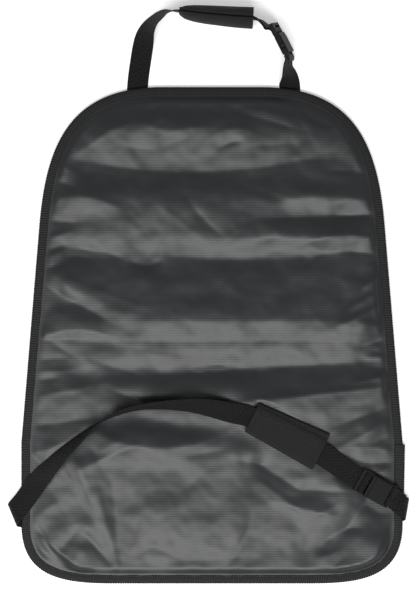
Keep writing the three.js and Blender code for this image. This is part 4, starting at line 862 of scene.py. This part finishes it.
def seat_keeper_section(width):
    """Folded on one side, its lips closed on the other, and the top crowned over the webbing."""
    half = width / 2
    low = PAD_THICK / 2
    high = KEEPER_THICK - low
    radius, centre = (high - low) / 2, (high + low) / 2
    fold = -half + radius + low
    turn = WEBBING_WIDTH / 2 + CLEAR + WEBBING_ROOM
    lip = low + PAD_THICK + LIP_GAP
    line = [(half, low), (turn + 1, low), (0, low), (fold, low)]
    for degrees in (-120, -150, -180, -210, -240):
        a = math.radians(degrees)
        line.append((fold + radius * math.cos(a), centre + radius * math.sin(a)))
    line += [
        (fold, high),
        (-turn + CROWN_INSET, high + CROWN_LEFT),
        (0, high + CROWN_MIDDLE),
        (turn - CROWN_INSET, high + CROWN_RIGHT),
        (turn + STEP_START, high - STEP_DROP),
        (min(turn + STEP_END, half - LIP_LEAST), lip + LIP_RISE),
        (half, lip),
    ]
    return outline_from(resampled(line, SECTION_POINTS), PAD_THICK)


def keeper_frame(node, count):
    """Start, along, across and up directions, length and end widths of a straight packed keeper."""
    groups, axis = slices(node, count)
    first, last = groups[0], groups[-1]
    across = unit(np.array([-axis[1], axis[0], 0]))
    low_first = first[first[:, 2] < first[:, 2].min() + LOW_BAND]
    low_last = last[last[:, 2] < last[:, 2].min() + LOW_BAND]
    start = np.append(first.mean(axis=0)[:2], 0)
    end = np.append(last.mean(axis=0)[:2], 0)
    for place, group in ((start, first), (end, last)):
        side = (group[:, :2] - place[:2]) @ across[:2]
        place[:2] += across[:2] * (side.max() + side.min()) / 2
    start[2], end[2] = low_first[:, 2].mean(), low_last[:, 2].mean()
    length = np.linalg.norm(end - start)
    along = (end - start) / length
    across = unit(across - along * (across @ along))
    widths = [float(np.ptp(group @ across)) for group in (first, last)]
    return start, along, across, np.cross(along, across), length, widths


def seat_keeper():
    start, along, across, up, length, widths = keeper_frame("seat_keeper", SEAT_KEEPER_SLICES)
    rings = []
    for t in np.linspace(0, 1, KEEPER_RINGS):
        section = seat_keeper_section(widths[0] + (widths[1] - widths[0]) * t)
        swell = SLEEVE_SWELL * math.sin(math.pi * t) * np.clip(section[:, 1] / KEEPER_THICK, 0, 1)
        from_seam = (min(t, 1 - t) * length - END_SEAM) / END_SEAM_HALF
        dip = END_SEAM_DIP * math.exp(-(from_seam**2)) * (section[:, 1] > KEEPER_THICK - END_SEAM_BAND)
        height = section[:, 1] + swell - dip
        rings.append(start + along * (t * length) + across * section[:, :1] + up * height[:, None])
    piece = swept("seat_keeper_sleeve", np.array(rings))
    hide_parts("seat_keeper")
    return piece


def seat_keeper_stitches():
    """A row along the closed lips and one across each end of the sleeve."""
    start, along, across, up, length, widths = keeper_frame("seat_keeper", SEAT_KEEPER_SLICES)
    places, directions = [], []
    for d in np.arange(SLEEVE_STITCH_START, length - SLEEVE_STITCH_STOP, SLEEVE_STITCH_PITCH):
        half = (widths[0] + (widths[1] - widths[0]) * d / length) / 2
        height = 2 * PAD_THICK + LIP_GAP + LIP_STITCH_PROUD
        places.append(start + along * d + across * (half - LIP_STITCH_INSET) + up * height)
        directions.append(along)
    for d, width in ((END_SEAM, widths[0]), (length - END_SEAM, widths[1])):
        for v in np.arange(-width / 2 + END_STITCH_MARGIN, END_STITCH_STOP, SLEEVE_STITCH_PITCH):
            places.append(start + along * d + across * v + up * (KEEPER_THICK + END_STITCH_PROUD))
            directions.append(across)
    return stitches("seat_keeper_stitches", places, directions, [up] * len(places))


HEAD_KEEPER_SLICES = 7
HEAD_SECTION_POINTS = 60
LIP_DEPTH = 1.6
LIP_ROUND = 0.5
LIP_TOP_GAP = 0.2
ROOF_GAP = 1.2
ROOF_SHARE = 0.45
ROOF_DROP = 2.2
WALL_GAP = 1.3
SHOULDER_SHARES = (0.86, 0.7)
WAIST_SHARE = 0.45
FOOT_SHARES = (0.92, 0.2)
SOLE_SHARE = 0.5
SOLE_RISE = 1.1


def head_keeper_section(half, height):
    """Closed below the strap, with its two lips meeting above it."""
    lip = LIP_GAP / 2 + PAD_THICK / 2
    low = PAD_THICK / 2
    side = half - PAD_THICK / 2
    beside_webbing = PAD_THICK / 2 + WEBBING_THICK / 2 + CLEAR
    right = [
        (lip, height - low - LIP_DEPTH),
        (lip + LIP_ROUND, height - low - LIP_TOP_GAP),
        (max(lip + ROOF_GAP, side * ROOF_SHARE), height - ROOF_DROP),
        (max(lip + WALL_GAP, side * SHOULDER_SHARES[0]), height * SHOULDER_SHARES[1]),
        (max(lip + WALL_GAP, side), height * WAIST_SHARE),
        (side * FOOT_SHARES[0], height * FOOT_SHARES[1]),
        (max(beside_webbing, side * SOLE_SHARE), low + SOLE_RISE),
    ]
    left = [(-v, z) for v, z in right[::-1]]
    return outline_from(resampled(right + [(0, low)] + left, HEAD_SECTION_POINTS), PAD_THICK)


def head_keeper_line():
    """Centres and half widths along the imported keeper, and its height."""
    groups, _ = slices("headrest_keeper", HEAD_KEEPER_SLICES)
    middles = np.array([(g[:, :2].min(axis=0) + g[:, :2].max(axis=0)) / 2 for g in groups])
    tangents = unit(np.gradient(middles, axis=0))
    lefts = np.stack([-tangents[:, 1], tangents[:, 0]], axis=1)
    centres, halves = [], []
    for group, middle, left in zip(groups, middles, lefts):
        side = (group[:, :2] - middle) @ left
        halves.append((side.max() - side.min()) / 2)
        centres.append(group[:, :2].mean(axis=0))
    height = max(g[:, 2].max() for g in groups)
    spots = run_length(centres)
    at = np.linspace(0, spots[-1], KEEPER_RINGS)
    line = through(centres, spots, at)
    half = through(np.array(halves)[:, None], spots, at)[:, 0]
    return line, half, height


def head_keeper():
    line, half, height = head_keeper_line()
    tangent = unit(np.gradient(line, axis=0))
    left = np.stack([-tangent[:, 1], tangent[:, 0]], axis=1)
    rings = []
    for place, side, width in zip(line, left, half):
        section = head_keeper_section(width, height)
        rings.append(np.column_stack([place + side * section[:, :1], section[:, 1]]))
    piece = swept("headrest_keeper_sleeve", np.array(rings))
    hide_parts("headrest_keeper")
    return piece


# Materials

def new_material(name, colour, roughness, specular):
    """A plain material, with its nodes, links and shader for what is added to it."""
    material = bpy.data.materials.new(name)
    material.use_nodes = True
    shader = material.node_tree.nodes["Principled BSDF"]
    shader.inputs["Base Color"].default_value = (*colour, 1)
    shader.inputs["Roughness"].default_value = roughness
    shader.inputs["Specular IOR Level"].default_value = specular
    return material, material.node_tree.nodes, material.node_tree.links, shader


def coordinates(nodes, links, kind, scale):
    source = nodes.new("ShaderNodeTexCoord")
    mapping = nodes.new("ShaderNodeMapping")
    mapping.inputs["Scale"].default_value = scale
    links.new(source.outputs[kind], mapping.inputs["Vector"])
    return mapping.outputs["Vector"]


WAVE_PERIOD = math.pi / 10


def wave(nodes, links, vector, direction, distortion):
    """Bands with a period of one unit of a vector that was scaled by WAVE_PERIOD."""
    texture = nodes.new("ShaderNodeTexWave")
    texture.wave_type = "BANDS"
    texture.bands_direction = direction
    texture.wave_profile = "SIN"
    texture.inputs["Scale"].default_value = 1
    texture.inputs["Distortion"].default_value = distortion
    texture.inputs["Detail"].default_value = 1
    links.new(vector, texture.inputs["Vector"])
    return texture.outputs["Fac"]


def mixed(nodes, links, operation, a, b):
    node = nodes.new("ShaderNodeMath")
    node.operation = operation
    for socket, value in zip(node.inputs, (a, b)):
        if isinstance(value, (int, float)):
            socket.default_value = value
        else:
            links.new(value, socket)
    return node.outputs["Value"]


def speckle(nodes, links, vector, scale, detail=2.0):
    texture = nodes.new("ShaderNodeTexNoise")
    texture.inputs["Scale"].default_value = scale
    texture.inputs["Detail"].default_value = detail
    links.new(vector, texture.inputs["Vector"])
    return texture.outputs["Fac"]


def add_bump(nodes, links, shader, height, distance, strength):
    bump = nodes.new("ShaderNodeBump")
    bump.inputs["Distance"].default_value = distance
    bump.inputs["Strength"].default_value = strength
    links.new(height, bump.inputs["Height"])
    links.new(bump.outputs["Normal"], shader.inputs["Normal"])


PANEL_RIB_PITCH = 0.0030
HERRINGBONE_STRIPE = 0.25
HERRINGBONE_COUNT = 9


def panel_material():
    """Coated polyester: dark, with a satin gloss and fine ribs across the mat."""
    colour = (0.0090, 0.0102, 0.0114)
    material, nodes, links, shader = new_material("coated_fabric", colour, roughness=0.45, specular=0.60)
    down = coordinates(nodes, links, "Object", (30, WAVE_PERIOD / PANEL_RIB_PITCH, 30))
    ribs = wave(nodes, links, down, "Y", distortion=0.6)
    fine = speckle(nodes, links, coordinates(nodes, links, "Object", (260, 1500, 260)), scale=1.0)
    add_bump(nodes, links, shader, mixed(nodes, links, "ADD", ribs, fine), distance=0.000035, strength=1.0)
    return material


def webbing_material():
    """Polyester webbing with a herringbone weave that follows the strap."""
    colour = (0.0125, 0.0125, 0.0128)
    material, nodes, links, shader = new_material("webbing_weave", colour, roughness=0.60, specular=0.20)
    source = nodes.new("ShaderNodeTexCoord")
    split = nodes.new("ShaderNodeSeparateXYZ")
    links.new(source.outputs["UV"], split.inputs["Vector"])
    stripe = mixed(nodes, links, "PINGPONG", split.outputs["X"], HERRINGBONE_STRIPE)
    join = nodes.new("ShaderNodeCombineXYZ")
    density = HERRINGBONE_COUNT * WAVE_PERIOD
    links.new(mixed(nodes, links, "MULTIPLY", stripe, density), join.inputs["X"])
    links.new(mixed(nodes, links, "MULTIPLY", split.outputs["Y"], density), join.inputs["Y"])
    weave = wave(nodes, links, join.outputs["Vector"], "DIAGONAL", distortion=0.3)
    fine = speckle(nodes, links, source.outputs["UV"], scale=220)
    add_bump(nodes, links, shader, mixed(nodes, links, "ADD", weave, fine), distance=0.0010, strength=1.0)
    return material


def binding_material():
    """Grosgrain tape, whose ribs are in its mesh."""
    colour = (0.0095, 0.0095, 0.0092)
    material, nodes, links, shader = new_material("grosgrain_tape", colour, roughness=0.60, specular=0.24)
    fine = speckle(nodes, links, coordinates(nodes, links, "UV", (40, 40, 40)), scale=6)
    add_bump(nodes, links, shader, fine, distance=0.0001, strength=0.5)
    return material


def keeper_material():
    """Soft brushed pad cloth."""
    colour = (0.0165, 0.0165, 0.0168)
    material, nodes, links, shader = new_material("keeper_cloth", colour, roughness=0.80, specular=0.20)
    fine = speckle(nodes, links, coordinates(nodes, links, "Object", (1, 1, 1)), scale=640, detail=3)
    add_bump(nodes, links, shader, fine, distance=0.0022, strength=1.0)
    return material


def plastic_material():
    """Moulded acetal with a fine spark-eroded grain."""
    colour = (0.0070, 0.0070, 0.0073)
    material, nodes, links, shader = new_material("buckle_plastic", colour, roughness=0.55, specular=0.13)
    fine = speckle(nodes, links, coordinates(nodes, links, "Object", (1, 1, 1)), scale=2200, detail=1)
    add_bump(nodes, links, shader, fine, distance=0.00003, strength=0.35)
    return material


def thread_material():
    return new_material("black_thread", (0.0120, 0.0120, 0.0125), roughness=0.55, specular=0.3)[0]


# Building

EDGE_ROUND = 0.35
SHARP_ANGLE = 35


def dress(piece, material):
    piece.data.materials.clear()
    piece.data.materials.append(material)


def build_mat(panel, tape, thread):
    low, high = -HALF_LENGTH + PANEL_INSET, HALF_LENGTH - PANEL_INSET
    back = fabric_sheet("back_cloth", low, high, BACK_STEPS, back_height)
    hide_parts("back_panel")
    front = fabric_sheet("front_cloth", low, high, FRONT_STEPS, lambda x, y: np.full(x.shape, Z_FRONT))
    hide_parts("front_panel")
    binding = edge_binding()
    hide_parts("edge_binding")
    top_row = edge_stitches("binding_stitches_back", Z_RIM - SUNK_TOP, 1)
    low_row = edge_stitches("binding_stitches_front", Z_FLANGE_LOW + SUNK_LOW, -1)
    for piece in (back, front):
        dress(piece, panel)
    dress(binding, tape)
    for piece in (top_row, low_row):
        dress(piece, thread)


def hem_stitches(name, node, low, high):
    """A row of stitches along a pocket's hem, on the side that faces down."""
    hem_low, hem_high = (from_row(corner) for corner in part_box(node + "_hem"))
    x = np.arange(hem_low[0] + HEM_STITCH_MARGIN, hem_high[0] - HEM_STITCH_MARGIN, STITCH_PITCH)
    y = np.full(len(x), high - HEM_WIDTH + HEM_STITCH_INSET)
    rest = np.minimum(pocket_height(x, np.full(len(x), high), low), pocket_height(x, y, low))
    places = np.column_stack([x, y, rest - CLEAR - FABRIC_THICK + PROUD_OF_HEM])
    return stitches(name, places, np.tile([1.0, 0, 0], (len(x), 1)), np.tile([0, 0, -1.0], (len(x), 1)))


def build_pocket(name, node, panel, tape, thread):
    box_low, box_high = (from_row(corner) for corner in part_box(node))
    low, high = box_low[1], box_high[1]
    cloth = fabric_sheet(name, low, high, POCKET_STEPS, lambda x, y: pocket_height(x, y, low))
    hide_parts(node)
    dress(cloth, panel)
    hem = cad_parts[node + "_hem"]
    dress(hem, tape)
    row = hem_stitches(name + "_hem_stitches", node, low, high)
    dress(row, thread)


def build_straps(material):
    for node in ("seat_strap", "seat_tab", "headrest_strap", "headrest_tab"):
        dress(webbing(node + "_webbing", node), material)


def build_buckles(material):
    for node in ("seat_buckle_male", "seat_buckle_female", "headrest_buckle_male", "headrest_buckle_female"):
        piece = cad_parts[node]
        dress(piece, material)
        bevel = piece.modifiers.new("softened_edges", "BEVEL")
        bevel.width = EDGE_ROUND * MM
        bevel.segments = 2
        bevel.limit_method = "ANGLE"
        bevel.angle_limit = math.radians(SHARP_ANGLE)


# Stage, in metres and watts

FLOOR_HALF = 4.0
FLOOR_GLOW = 0.35
WORLD_STRENGTH = 0.35
KEY_PLACE = (-0.24, -1.04, 1.9)
KEY_SIZE = (2.6, 0.7)
KEY_POWER = 53
FRAME_HEIGHT = 0.7068
CAMERA_HEIGHT = 2.8
SENSOR = 36
PICTURE_CENTRE = (208, 294.5)


def floor_material():
    material, _, _, shader = new_material("pale_floor", (0.92, 0.92, 0.92), roughness=0.9, specular=0.1)
    shader.inputs["Emission Color"].default_value = (1, 1, 1, 1)
    shader.inputs["Emission Strength"].default_value = FLOOR_GLOW
    return material


def build_floor():
    corners = [(x * FLOOR_HALF, y * FLOOR_HALF, 0) for x, y in ((-1, -1), (1, -1), (1, 1), (-1, 1))]
    mesh = bpy.data.meshes.new("floor")
    mesh.from_pydata(corners, [], [(0, 1, 2, 3)])
    floor = bpy.data.objects.new("floor", mesh)
    bpy.context.collection.objects.link(floor)
    floor.data.materials.append(floor_material())


def area_light(name, place, target, size, power):
    data = bpy.data.lights.new(name, "AREA")
    data.shape = "RECTANGLE"
    data.size, data.size_y = size
    data.energy = power
    light = bpy.data.objects.new(name, data)
    light.location = place
    light.rotation_mode = "QUATERNION"
    light.rotation_quaternion = (Vector(target) - Vector(place)).to_track_quat("-Z", "Y")
    bpy.context.collection.objects.link(light)


def build_lights():
    area_light("key_softbox", KEY_PLACE, (0, 0, 0), KEY_SIZE, KEY_POWER)
    world = bpy.data.worlds.new("studio")
    world.use_nodes = True
    background = world.node_tree.nodes["Background"]
    background.inputs["Color"].default_value = (1, 1, 1, 1)
    background.inputs["Strength"].default_value = WORLD_STRENGTH
    bpy.context.scene.world = world


def build_camera():
    data = bpy.data.cameras.new("camera")
    data.sensor_width = SENSOR
    data.lens = SENSOR * CAMERA_HEIGHT / FRAME_HEIGHT
    camera = bpy.data.objects.new("camera", data)
    aim_x = (PICTURE_CENTRE[0] - DRAWN_CENTRE[0]) * DRAWN_MM
    aim_y = (DRAWN_CENTRE[1] - PICTURE_CENTRE[1]) * DRAWN_MM
    camera.location = to_row((aim_x, aim_y, CAMERA_HEIGHT / MM))
    bpy.context.collection.objects.link(camera)
    bpy.context.scene.camera = camera


build_camera()
build_lights()
build_floor()
bpy.context.scene.view_settings.view_transform = "Standard"

panel_cloth = panel_material()
tape_cloth = binding_material()
thread_look = thread_material()
build_mat(panel_cloth, tape_cloth, thread_look)
build_pocket("upper_pocket_cloth", "upper_pocket", panel_cloth, tape_cloth, thread_look)
build_pocket("lower_pocket_cloth", "lower_pocket", panel_cloth, tape_cloth, thread_look)
build_straps(webbing_material())
pad_cloth = keeper_material()
dress(seat_keeper(), pad_cloth)
dress(head_keeper(), pad_cloth)
dress(seat_keeper_stitches(), thread_look)
build_buckles(plastic_material())
